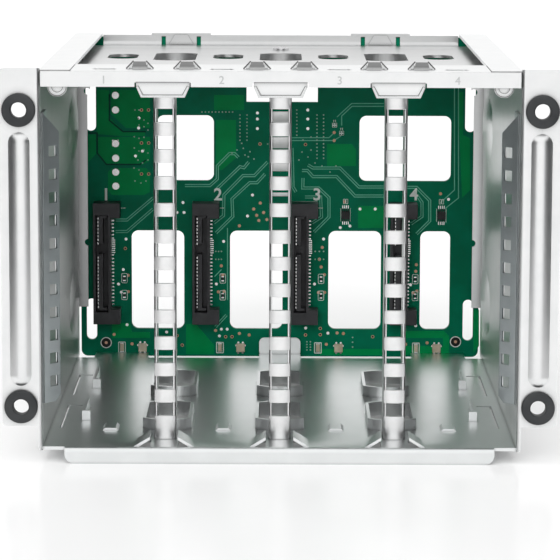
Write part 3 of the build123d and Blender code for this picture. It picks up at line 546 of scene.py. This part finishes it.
# Bright solder dots, copper test points, and holes drawn as dark discs of painted shade
bright_dots = [
    (139, 118), (138.6, 128), (142.4, 151), (135.5, 156), (257.4, 113), (257.4, 119), (257.4, 128.6),
    (307.8, 110), (307.8, 119), (307.8, 128.6), (252.5, 195), (247.5, 216), (360, 209), (375.2, 209),
    (340.3, 227.6), (350, 226), (448.5, 199.4), (183, 202.5), (177, 212.5), (184, 212.5),
    (126.1, 239), (123.3, 269.5), (118.5, 284), (121.3, 292.1), (127.1, 324.7), (166.6, 332),
    (223.6, 241.4), (216.3, 284), (221.4, 329.1), (227.2, 329.1), (219.4, 335.9),
    (323.6, 239), (314.5, 284), (305.7, 328), (327.9, 333.1), (410.5, 284.7), (415.7, 325.6),
]
copper_dots = [
    (260.3, 203), (253.7, 209), (263.6, 212.5), (256.7, 215.3), (258.8, 220.5), (266.8, 219.5),
    (239.4, 225.8), (334.2, 132.5),
    (334.2, 140.5), (344.7, 201.7), (440.5, 193.7), (128.3, 275.3), (128.3, 291.6),
    (114.2, 334.4), (132.1, 343.8), (221.3, 265.8), (222.9, 274.8), (218.4, 291.8), (224.1, 291.2),
    (215.6, 330.4), (239.4, 333.4), (249.2, 334.9), (322.3, 247.4), (321.1, 267), (324.4, 274.7),
    (318.5, 292.4), (324.6, 292.4), (337.1, 332.9), (343.4, 333.5), (326.3, 344.3), (416.3, 264.7),
    (415.7, 271.4), (413, 292.6), (416.8, 291), (427.1, 342.8), (405.6, 344.3),
]
ringed_holes = [
    (141.5, 110), (148.5, 110), (141.5, 143), (148.7, 143), (141.5, 174), (148.7, 174), (125.4, 248.4),
    (177.1, 335.6), (182.2, 345.1), (225.6, 336.7), (232.1, 336.7), (319.4, 259.3), (320.3, 328.4),
    (320.3, 334.7), (305.5, 334.9), (372.7, 336.7), (260, 144), (305.5, 144.5),
]
BRIGHT_RADIUS = 0.52 * MM
COPPER_RADIUS = 0.56 * MM
HOLE_RADIUS = 0.36 * MM
HOLE_RING_RADIUS = 0.46 * MM
HOLE_RING_WIDTH = 0.22 * MM
for pixel in bright_dots:
    disc("bright_dots", on_board(*pixel), BRIGHT_RADIUS, PAD_RISE)
for pixel in copper_dots:
    disc("copper_dots", on_board(*pixel), COPPER_RADIUS, PAD_RISE)
for pixel in ringed_holes:
    ring("copper_dots", on_board(*pixel), HOLE_RING_RADIUS, HOLE_RING_WIDTH, PAD_RISE)
    # a flat dark disc of painted shade stands in for the inside of the hole
    disc("holes", on_board(*pixel), HOLE_RADIUS, TRACE_RISE)

# Rows and columns of small vias
VIA_RADIUS = 0.27 * MM
SMALL_SIDES = 10


def via_row(start, step, count):
    """Small vias from one pixel on, a pixel step apart."""
    for i in range(count):
        spot = on_board(start[0] + i * step[0], start[1] + i * step[1])
        disc("vias", spot, VIA_RADIUS, PAD_RISE, SMALL_SIDES)


via_row((202, 112), (3.4, 0), 10)
via_row((240, 115), (0, 3.6), 8)
via_row((247, 115), (0, 3.6), 8)
via_row((317, 115), (0, 3.6), 13)
via_row((323.6, 115), (0, 3.6), 13)
for row in (251.4, 259.3):
    via_row((215.8, row), (2.8, 0), 3)
    via_row((315.2, row), (4.2, 0), 3)
for column in (306.9, 310.4):
    via_row((column, 341.8), (0, 2.7), 4)
via_row((352.6, 337.4), (0, 4.8), 3)
via_row((296.8, 110), (0, 3.6), 8)
LOOSE_VIAS = (
    (135, 110), (139, 110), (138.3, 118.3), (139, 125), (144, 120), (148, 123.3), (144, 126.7), (148, 130),
    (134.3, 136.7), (139, 138.3), (144, 137.3), (134.3, 148), (139, 151), (144, 150), (148, 153),
    (138, 160), (142.5, 163), (148, 160), (134, 168), (139, 170), (135, 181), (141, 183), (146, 181),
    (267.7, 144), (250, 151.7), (248.3, 156.7), (245, 155), (241.7, 143.3), (243.3, 148.3), (237, 150),
    (254, 159), (232, 153), (311, 150), (302, 152), (308, 157), (299, 160), (315, 163), (322, 166),
    (330, 172), (336, 166), (303, 140), (311, 137),
)
for pixel in LOOSE_VIAS:
    disc("vias", on_board(*pixel), VIA_RADIUS, PAD_RISE, SMALL_SIDES)

# Two small footprints with inked outlines and their marks
LAND_SHIFT = 0.42 * MM
LAND_DROP = 0.6 * MM
MARK_SHIFT = 0.3 * MM
MARK_SPAN = (0.6 * MM, 1.3 * MM)
for pixel in ((334.6, 123.5), (341.6, 131.5)):
    x, z = on_board(*pixel)
    for side in (-1, 1):
        land = (x + side * LAND_SHIFT, z - LAND_DROP)
        rounded_frame("silkscreen", land, half_width=0.34 * MM, half_height=0.75 * MM, corner=0.1 * MM,
                      width=0.14 * MM, rise=INK_RISE)
        mark = [(x + side * MARK_SHIFT, z + height) for height in MARK_SPAN]
        stroke("silkscreen", mark, 0.2 * MM, INK_RISE)
        disc("pads", land, 0.2 * MM, PAD_RISE, SMALL_SIDES)

# The third joint of the power header has a square pad
SQUARE_PAD_HALF = 1.15 * MM
plate("pads", rectangle(on_board(115.4, 142.9), SQUARE_PAD_HALF, SQUARE_PAD_HALF), 8 * PAD_RISE)

# Inked corner brackets beside the connectors' upper ends, as pixels of the photograph
BRACKET_LENGTH = 25.4
BRACKET_TOP = 201.6
BRACKET_FOOT = 214.6
TICK_ROW = 208
TICK_LENGTH = 6
BRACKET_WIDTH = 0.2 * MM
for corner_x in (119.4, 218.0, 317.0):
    bracket = [on_board(corner_x - BRACKET_LENGTH, BRACKET_TOP), on_board(corner_x, BRACKET_TOP),
               on_board(corner_x, BRACKET_FOOT)]
    tick = [on_board(corner_x, TICK_ROW), on_board(corner_x + TICK_LENGTH, TICK_ROW)]
    stroke("silkscreen", bracket, BRACKET_WIDTH, INK_RISE)
    stroke("silkscreen", tick, BRACKET_WIDTH, INK_RISE)

# Fiducials: a copper dot in a bare ring with an inked outline
FIDUCIAL_BARE_RADIUS = 1.7 * MM
FIDUCIAL_INK_RADIUS = 1.85 * MM
FIDUCIAL_DOT_RADIUS = 0.55 * MM
for pixel in ((106.2, 342.6), (455.5, 341.8)):
    spot = on_board(*pixel)
    disc("holes", spot, FIDUCIAL_BARE_RADIUS, TRACE_RISE)
    ring("silkscreen", spot, FIDUCIAL_INK_RADIUS, 0.3 * MM, INK_RISE)
    disc("copper_dots", spot, FIDUCIAL_DOT_RADIUS, PAD_RISE)

# Inked outlines and solder pads of the small parts
INK_WIDTH = 0.28 * MM
LED_MARGIN_X = 0.5 * MM
LED_MARGIN_Z = 0.6 * MM
LED_PAD_LAP = 0.1 * MM
LED_PAD_HALF_HEIGHT = 0.45 * MM
STATUS_SHIFT = 0.8 * MM
STATUS_END_GAP = 0.35 * MM
STATUS_SIDE_GAP = 0.1 * MM
STATUS_SIDES = 12


def node_centre(name):
    """X and Z of the middle of a node's box, and half its width and height."""
    low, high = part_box(name)
    return ((low[0] + high[0]) / 2, (low[2] + high[2]) / 2), (high[0] - low[0]) / 2, (high[2] - low[2]) / 2


for bay in range(1, 5):
    (x, z), half_width, half_height = node_centre(f"activity_led_{bay}")
    rounded_frame("silkscreen", (x, z), half_width + LED_MARGIN_X, half_height + LED_MARGIN_Z, 0.2 * MM,
                  INK_WIDTH, INK_RISE)
    for side in (-1, 1):
        end = (x, z + side * (half_height - LED_PAD_LAP))
        plate("pads", rectangle(end, half_width, LED_PAD_HALF_HEIGHT), 3 * PAD_RISE)
    (x, z), half_width, half_height = node_centre(f"status_led_{bay}")
    for sx in (-1, 1):
        for sz in (-1, 1):
            corner = (x + sx * STATUS_SHIFT, z + sz * (half_height + STATUS_END_GAP))
            disc("pads", corner, 0.38 * MM, 3 * PAD_RISE, STATUS_SIDES)
        flank = (x + sx * (half_width + STATUS_SIDE_GAP), z + STATUS_SHIFT)
        disc("pads", flank, 0.33 * MM, 3 * PAD_RISE, STATUS_SIDES)

# Leads and inked marks of the two driver chips
LEAD_PITCH = 0.65 * MM
LEAD_LAP = 0.1 * MM
LEAD_REACH = 1.1 * MM
LEAD_WIDTH = 0.3 * MM
CHIP_MARK_SHIFT = 0.45 * MM
CHIP_MARK_RISE = 2.5 * MM
CHIP_LINE_SHIFT = 1.7 * MM
CHIP_LINE_WIDTH = 0.15 * MM
for chip in (1, 2):
    (x, z), half_width, half_height = node_centre(f"driver_chip_{chip}")
    for i in range(4):
        lead_x = x + (i - 1.5) * LEAD_PITCH
        for side in (-1, 1):
            lead = [(lead_x, z + side * (half_height - LEAD_LAP)),
                    (lead_x, z + side * (half_height + LEAD_REACH))]
            stroke("pads", lead, LEAD_WIDTH, 4 * PAD_RISE)
    for side in (-1, 1):
        mark = (x + side * CHIP_MARK_SHIFT, z + half_height + CHIP_MARK_RISE)
        rounded_frame("silkscreen", mark, half_width=0.33 * MM, half_height=0.8 * MM, corner=0.1 * MM,
                      width=CHIP_LINE_WIDTH, rise=INK_RISE)
        line_x = x + side * CHIP_LINE_SHIFT
        line = [(line_x, z - half_height), (line_x, z + half_height)]
        stroke("silkscreen", line, CHIP_LINE_WIDTH, INK_RISE)

# Numbers of the bays, in ink beside the connectors and stamped into the header's lip


def number_piece(name, digit, spot, depth, size, weight, material):
    """Upright digit about an X, Z point at a depth."""
    curve = bpy.data.curves.new(name, "FONT")
    curve.body = digit
    curve.size = size
    curve.extrude = DIGIT_RELIEF
    curve.offset = weight
    curve.align_x = "CENTER"
    curve.align_y = "CENTER"
    curve.materials.append(material)
    place = Matrix.Translation((spot[0], depth, spot[1])) @ Matrix.Rotation(math.pi / 2, 4, "X")
    add_piece(name, curve, place)


DIGIT_RELIEF = 0.02 * MM
BAY_DIGIT_SIZE = 6.1 * MM
BAY_DIGIT_WEIGHT = 0.12 * MM
STAMPED_SIZE = 3.4 * MM
STAMPED_HEIGHT = HEADER_TOP - 2.9 * MM
STAMPED_DEPTH = lip_plane - 0.01 * MM
stamped = grain_material("stamped_mark", (0.66, 0.67, 0.67), (0.72, 0.73, 0.73), 0.45, 0.60, 1.0, 900, 0.05)
number_spots = {1: (106, 195), 2: (218, 195), 3: (317, 195), 4: (414, 195)}
BAY_PITCH = (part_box("divider_post_3")[0][0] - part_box("divider_post_1")[0][0]) / 2
for number, pixel in number_spots.items():
    number_piece(f"bay_number_{number}", str(number), on_board(*pixel), board_front - INK_RISE,
                 BAY_DIGIT_SIZE, BAY_DIGIT_WEIGHT, silkscreen)
    number_piece(f"stamped_number_{number}", str(number), ((number - 2.5) * BAY_PITCH, STAMPED_HEIGHT),
                 STAMPED_DEPTH, STAMPED_SIZE, 0.0, stamped)

# Small pieces on the board: boxes between two corners

block_group = {}


def block(layer, low, high):
    """Box of a layer of small pieces."""
    centre = (Vector(low) + Vector(high)) / 2
    size = Vector(high) - Vector(low)
    place = Matrix.Translation(centre) @ Matrix.Diagonal((*size, 1))
    bmesh.ops.create_cube(layer_mesh(block_group, layer), size=1, matrix=place)


FINGER_ROWS = 26
KEY_ROWS = (15, 16, 17)
FINGER_PITCH = 1.27 * MM
FINGER_FIRST = 0.25 * MM
FINGER_HEIGHT = 0.7 * MM
FINGER_WIDTH = 0.35 * MM
FINGER_SHIFT = 1.35 * MM
FINGER_RECESS = 1.3 * MM
FINGER_REACH = 3.5 * MM
COMPONENT_HEIGHTS = (25.8 * MM, 31.9 * MM)
END_SHIFT = 0.75 * MM
END_HALF_WIDTH = 0.45 * MM
END_HALF_HEIGHT = 0.22 * MM
END_RISE = 0.65 * MM
for bay in range(1, 5):
    low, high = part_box(f"drive_connector_{bay}")
    tails_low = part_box(f"connector_contacts_{bay}")[0]
    body_right = tails_low[0]
    finger_x = (low[0] + body_right) / 2 - FINGER_SHIFT
    finger_front = low[1] + FINGER_RECESS
    for i in range(FINGER_ROWS):
        if i in KEY_ROWS:
            continue
        height = tails_low[2] + FINGER_FIRST + i * FINGER_PITCH
        block("fingers", (finger_x - FINGER_WIDTH / 2, finger_front, height - FINGER_HEIGHT / 2),
              (finger_x + FINGER_WIDTH / 2, finger_front + FINGER_REACH, height + FINGER_HEIGHT / 2))
    # inked outlines and bright ends of the two-ended components
    component_x = body_right + (3.0 * MM if bay == 4 else 4.5 * MM)
    for height in COMPONENT_HEIGHTS:
        rounded_frame("silkscreen", (component_x, height), half_width=1.0 * MM, half_height=1.7 * MM,
                      corner=0.4 * MM, width=0.2 * MM, rise=INK_RISE)
        for side in (-1, 1):
            end = height + side * END_SHIFT
            block("ends", (component_x - END_HALF_WIDTH, board_front - END_RISE, end - END_HALF_HEIGHT),
                  (component_x + END_HALF_WIDTH, board_front, end + END_HALF_HEIGHT))

for layer, shape in block_group.items():
    mesh_piece(f"small_{layer}", shape, solder)

LAYERS = {
    "pours": (mask_pour, "green_circuit_board"),
    "traces": (mask_trace, "green_circuit_board"),
    "silkscreen": (silkscreen, "green_circuit_board"),
    "grooves": (mask_groove, "green_circuit_board"),
    "holes": (hole_dark, "green_circuit_board"),
    "vias": (via_mask, "green_circuit_board"),
    "copper_dots": (copper, "solder"),
    "bright_dots": (solder, "solder"),
    "pads": (solder, "solder"),
}
ON_BOTH_FACES = ("pours", "traces", "vias", "bright_dots", "holes")
TO_REAR_FACE = Matrix.Translation((0, board_front + board_back, 0)) @ Matrix.Diagonal((1, -1, 1, 1))
for layer, (material, slot) in LAYERS.items():
    bmesh.ops.recalc_face_normals(board_group[layer], faces=board_group[layer].faces)
    piece = mesh_piece(f"board_{layer}", board_group[layer], material)
    if layer in ON_BOTH_FACES:
        rear_mesh = piece.data.copy()
        rear_mesh.transform(TO_REAR_FACE)
        rear_mesh.flip_normals()
        add_piece(f"board_rear_{layer}", rear_mesh)


# Divider posts: rounded folded sheet with a ladder of bowed rungs

POST_SHEET = 0.8 * MM
RUNG_PITCH = 8.23 * MM
RUNG_HEIGHT = 4.1 * MM
RUNG_BOW = 0.7 * MM
RUNG_FIRST = 18.5 * MM
RUNG_COUNT = 11
BOW_STEPS = 10
# Top and foot, as rows of the photograph, of the short webs across the middle post's rear edge
REAR_WEB_ROWS = ((111.5, 122.5), (137.0, 148.0), (163.0, 171.0), (192.5, 196.0))


def prism(mesh, outline, low, high):
    """Upright prism over an outline of X, Y points given anticlockwise from above."""
    foot = [mesh.verts.new((x, y, low)) for x, y in outline]
    top = [mesh.verts.new((x, y, high)) for x, y in outline]
    mesh.faces.new(list(reversed(foot)))
    mesh.faces.new(top)
    for i in range(len(outline)):
        j = (i + 1) % len(outline)
        mesh.faces.new((foot[i], foot[j], top[j], top[i]))


for number in (1, 2, 3):
    low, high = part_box(f"divider_post_{number}")
    left, right = low[0], high[0]
    middle, half = (left + right) / 2, (right - left) / 2
    web = low[1] + RUNG_BOW
    shape = bmesh.new()
    for x0, x1 in ((left, left + POST_SHEET), (right - POST_SHEET, right)):
        prism(shape, [(x0, web), (x1, web), (x1, high[1]), (x0, high[1])], low[2], high[2])
    rungs = [(low[2], RUNG_FIRST - RUNG_PITCH + RUNG_HEIGHT / 2)]
    rungs += [(RUNG_FIRST + i * RUNG_PITCH - RUNG_HEIGHT / 2, RUNG_FIRST + i * RUNG_PITCH + RUNG_HEIGHT / 2)
              for i in range(RUNG_COUNT)]
    rungs.append((RUNG_FIRST + RUNG_COUNT * RUNG_PITCH - RUNG_HEIGHT / 2, high[2]))
    bow = [2 * i / BOW_STEPS - 1 for i in range(BOW_STEPS + 1)]
    outline = [(middle + t * half, web - RUNG_BOW * (1 - t * t)) for t in bow]
    outline += [(right, web + POST_SHEET), (left, web + POST_SHEET)]
    for foot, top in rungs:
        prism(shape, outline, foot, top)
    if number == 2:
        # these webs are seen through the post's upper windows
        rear = high[1]
        for upper, lower in REAR_WEB_ROWS:
            rear_top = on_board(PHOTO_SIDE / 2, upper, rear)[1]
            rear_foot = on_board(PHOTO_SIDE / 2, lower, rear)[1]
            prism(shape, [(left, rear - POST_SHEET), (right, rear - POST_SHEET), (right, rear), (left, rear)],
                  rear_foot, rear_top)
    post = mesh_piece(f"slotted_post_{number}", shape, zinc_bright)
    soften(post, 0.12 * MM)
    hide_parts(f"divider_post_{number}")

# Contact strips: the bright turned edge at the inner side of each window

WINDOW_COUNT = 11
WINDOW_FIRST = 24.5 * MM
WINDOW_PITCH = 7.02 * MM
WINDOW_HALF = 1.6 * MM
WINDOW_EDGE = 0.7 * MM
TURNED_WIDTH = 0.75 * MM
TURNED_FRONT = 0.1 * MM
TURNED_BACK = 0.3 * MM
edges = bmesh.new()
for strip_name, inward in (("contact_strip_left", 1), ("contact_strip_right", -1)):
    low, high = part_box(strip_name)
    inner, outer = (high[0], low[0]) if inward > 0 else (low[0], high[0])
    window_in = inner - inward * WINDOW_EDGE
    depth = low[1] + abs(inner - outer) - WINDOW_EDGE
    front, back = depth - TURNED_FRONT, depth + TURNED_BACK
    x0, x1 = sorted((window_in, window_in - inward * TURNED_WIDTH))
    for i in range(WINDOW_COUNT):
        z = WINDOW_FIRST + i * WINDOW_PITCH
        prism(edges, [(x0, front), (x1, front), (x1, back), (x0, back)], z - WINDOW_HALF, z + WINDOW_HALF)
edge_piece = mesh_piece("strip_window_edges", edges, zinc_bright)
soften(edge_piece, 0.1 * MM)

# Trays: a rolled rim round the front of each, a painted shade line just inside it, and a painted shadow line
# above it, under the lip

TRAY_TOP_HALF = 8.0 * MM
TRAY_BOTTOM_HALF = 6.6 * MM
TRAY_BOTTOM = 111.5 * MM
TRAY_TOP = 116.0 * MM
TRAY_FRONT = lip_plane + 0.8 * MM
RIM_WIDTH = 0.7 * MM
RIM_RISE = 0.35 * MM
RIM_DROP = 1.2 * MM
PAINTED_SHADE_WIDTH = 0.17 * MM
PAINTED_SHADE_INSET = RIM_WIDTH + 0.1 * MM
PAINTED_SHADE_DROP = 1.0 * MM
STROKE_FOOT = 0.02 * MM


def standing_stroke(mesh, points, width, depth, rise):
    """Line of even width through X, Z points on an upright plane at a depth, raised forwards."""
    left_side = beside(points, width / 2)
    right_side = beside(points, -width / 2)
    for i in range(len(points) - 1):
        corners = (left_side[i], left_side[i + 1], right_side[i + 1], right_side[i])
        top = [mesh.verts.new((x, depth - rise, z)) for x, z in corners]
        foot = [mesh.verts.new((x, depth + STROKE_FOOT, z)) for x, z in corners]
        mesh.faces.new(top)
        for j in range(4):
            k = (j + 1) % 4
            mesh.faces.new((top[j], foot[j], foot[k], top[k]))


def tray_line(x, top_inset, inset, drop):
    """Line down, along and up the front of a tray, inside its edge and below its top."""
    top_half, bottom_half = TRAY_TOP_HALF - top_inset, TRAY_BOTTOM_HALF - inset
    return [(x - top_half, TRAY_TOP - drop), (x - bottom_half, TRAY_BOTTOM + inset),
            (x + bottom_half, TRAY_BOTTOM + inset), (x + top_half, TRAY_TOP - drop)]


rims_and_highlights, painted_shade_strokes = bmesh.new(), bmesh.new()
post_middles = [sum(corner[0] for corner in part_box(f"divider_post_{number}")) / 2 for number in (1, 2, 3)]
for x in post_middles:
    rim_line = tray_line(x, RIM_WIDTH / 2, RIM_WIDTH / 2, RIM_DROP)
    standing_stroke(rims_and_highlights, rim_line, RIM_WIDTH, TRAY_FRONT, RIM_RISE)
    # a painted shade line just inside the rim
    painted_shade_path = tray_line(x, RIM_WIDTH, PAINTED_SHADE_INSET, PAINTED_SHADE_DROP)
    standing_stroke(painted_shade_strokes, painted_shade_path, PAINTED_SHADE_WIDTH * 0.7, TRAY_FRONT, 0.04 * MM)
    # a painted shadow line along the tray's top, under the lip
    top_line = [(x - TRAY_TOP_HALF, TRAY_TOP + 0.12 * MM), (x + TRAY_TOP_HALF, TRAY_TOP + 0.12 * MM)]
    standing_stroke(painted_shade_strokes, top_line, PAINTED_SHADE_WIDTH, lip_plane + 0.1 * MM, 0.14 * MM)

# Lugs at the ends of the header: painted shade lines along the lower half of a round edge, and of the dish in
# it
LUG_CENTRE = 66.7 * MM
LUG_HEIGHT = HEADER_TOP - 4.9 * MM
LUG_RADIUS = 2.75 * MM
LUG_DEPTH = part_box("top_plate")[0][1] + 0.05 * MM
LUG_RISE = 0.06 * MM
LUG_STEPS = 12
DISH_RATIO = 0.6
lower_half = [math.pi * (1 + i / LUG_STEPS) for i in range(LUG_STEPS + 1)]
for side in (-1, 1):
    for radius, width in ((LUG_RADIUS, 0.22 * MM), (LUG_RADIUS * DISH_RATIO, 0.14 * MM)):
        arc = [(side * LUG_CENTRE + radius * math.cos(angle), LUG_HEIGHT + radius * math.sin(angle))
               for angle in lower_half]
        standing_stroke(painted_shade_strokes, arc, width, LUG_DEPTH, LUG_RISE)

# Wings beside the trays: a painted shade line down each flank, and a painted highlight at the foot inside it
WING_DEPTH = lip_plane + 7.55 * MM
WING_SHIFT = 7.1 * MM
WING_FOOT = HEADER_TOP + 0.02 * MM
WING_RISE = 2.3 * MM
WING_TOP_HALF = 1.9 * MM
WING_FOOT_HALF = 4.1 * MM
BRIGHT_RISE = 0.9 * MM
BRIGHT_FOOT_HALF = 3.2 * MM
for x in post_middles:
    for side in (-1, 1):
        wing_x = x + side * WING_SHIFT
        for flank in (-1, 1):
            top_x = wing_x + flank * WING_TOP_HALF
            dark_edge = [(top_x, WING_FOOT + WING_RISE), (wing_x + flank * WING_FOOT_HALF, WING_FOOT)]
            bright_foot = [(top_x, WING_FOOT + BRIGHT_RISE), (wing_x + flank * BRIGHT_FOOT_HALF, WING_FOOT)]
            # a painted shade line down the wing's flank
            standing_stroke(painted_shade_strokes, dark_edge, 0.40 * MM, WING_DEPTH, 0.1 * MM)
            # a painted highlight at the wing's foot
            standing_stroke(rims_and_highlights, bright_foot, 1.5 * MM, WING_DEPTH, 0.05 * MM)
# dark colour of the painted shade and shadow lines
painted_shade_material = grain_material("painted_shade_lines", (0.14, 0.14, 0.14), (0.20, 0.20, 0.20), 0.5, 0.6, 0.6, 900, 0.05)
for shape in (rims_and_highlights, painted_shade_strokes):
    bmesh.ops.recalc_face_normals(shape, faces=shape.faces)
# the rolled rims, with the wings' painted highlights
rims_and_highlights_piece = mesh_piece("tray_rims_and_highlights", rims_and_highlights, zinc)
soften(rims_and_highlights_piece, 0.15 * MM, 3)
mesh_piece("tray_painted_shade_strokes", painted_shade_strokes, painted_shade_material)

# Table: a pale sheet with a weak mirror image, a little brighter to the eye than by its light

TABLE_HALF = 12
TABLE_IOR = 1.12
TABLE_GLOW = 0.10
table_mesh = bpy.data.meshes.new("table")
table_shape = bmesh.new()
bmesh.ops.create_grid(table_shape, x_segments=1, y_segments=1, size=TABLE_HALF)
table_shape.to_mesh(table_mesh)
table_shape.free()
table = bpy.data.objects.new("table", table_mesh)
bpy.context.scene.collection.objects.link(table)
table_material = grain_material("table_top", (0.965, 0.965, 0.965), (0.985, 0.985, 0.985),
                                0.16, 0.20, 0.0, 60, 0.0)
tree = table_material.node_tree
shader = tree.nodes["Principled BSDF"]
shader.inputs["IOR"].default_value = TABLE_IOR
shader.inputs["Emission Color"].default_value = (1, 1, 1, 1)
path = tree.nodes.new("ShaderNodeLightPath")
glow = map_range(tree, path.outputs["Is Camera Ray"], 0.0, TABLE_GLOW)
tree.links.new(glow, shader.inputs["Emission Strength"])
table_mesh.materials.append(table_material)

# Light: an even white room for what is seen and mirrored, dimmer on the object itself, and two suns

ROOM_LIGHT = 0.45
ROOM_SEEN = 1.0
world = bpy.data.worlds.new("room")
bpy.context.scene.world = world
world.use_nodes = True
tree = world.node_tree
room = tree.nodes["Background"]
path = tree.nodes.new("ShaderNodeLightPath")
either = larger_of(tree, path.outputs["Is Camera Ray"], path.outputs["Is Glossy Ray"])
seen = larger_of(tree, either, path.outputs["Is Transmission Ray"])
tree.links.new(map_range(tree, seen, ROOM_LIGHT, ROOM_SEEN), room.inputs["Strength"])
room.inputs["Color"].default_value = (1, 1, 1, 1)


def sun(name, place, strength, spread):
    """Sun turned from a place to the middle of the table, unseen by mirroring surfaces."""
    light = bpy.data.lights.new(name, "SUN")
    light.energy = strength
    light.angle = spread
    holder = bpy.data.objects.new(name, light)
    towards = (-Vector(place)).to_track_quat("-Z", "Y").to_matrix().to_4x4()
    holder.matrix_world = Matrix.Translation(place) @ towards
    holder.visible_glossy = False
    bpy.context.scene.collection.objects.link(holder)


sun("overhead", (-0.6, -0.8, 2.0), strength=1.2, spread=math.radians(70))
sun("frontal", (-0.25, -2.0, 0.9), strength=1.5, spread=math.radians(40))

# Two dark screens beside the cage, seen only by mirroring surfaces
SCREEN_SHIFT = 0.25
SCREEN_FRONT, SCREEN_BACK = -0.50, -0.09
SCREEN_FOOT, SCREEN_TOP = 0.002, 0.26
screen_material = new_material("side_screen", (0.02, 0.022, 0.024), 0.9)[0]
for side in (-1, 1):
    x = side * SCREEN_SHIFT
    screen_mesh = bpy.data.meshes.new("side_screen")
    screen_mesh.from_pydata([(x, SCREEN_FRONT, SCREEN_FOOT), (x, SCREEN_BACK, SCREEN_FOOT),
                             (x, SCREEN_BACK, SCREEN_TOP), (x, SCREEN_FRONT, SCREEN_TOP)], [], [(0, 1, 2, 3)])
    screen_mesh.materials.append(screen_material)
    screen = bpy.data.objects.new("side_screen", screen_mesh)
    bpy.context.scene.collection.objects.link(screen)
    screen.visible_camera = False
    screen.visible_diffuse = False
    screen.visible_shadow = False
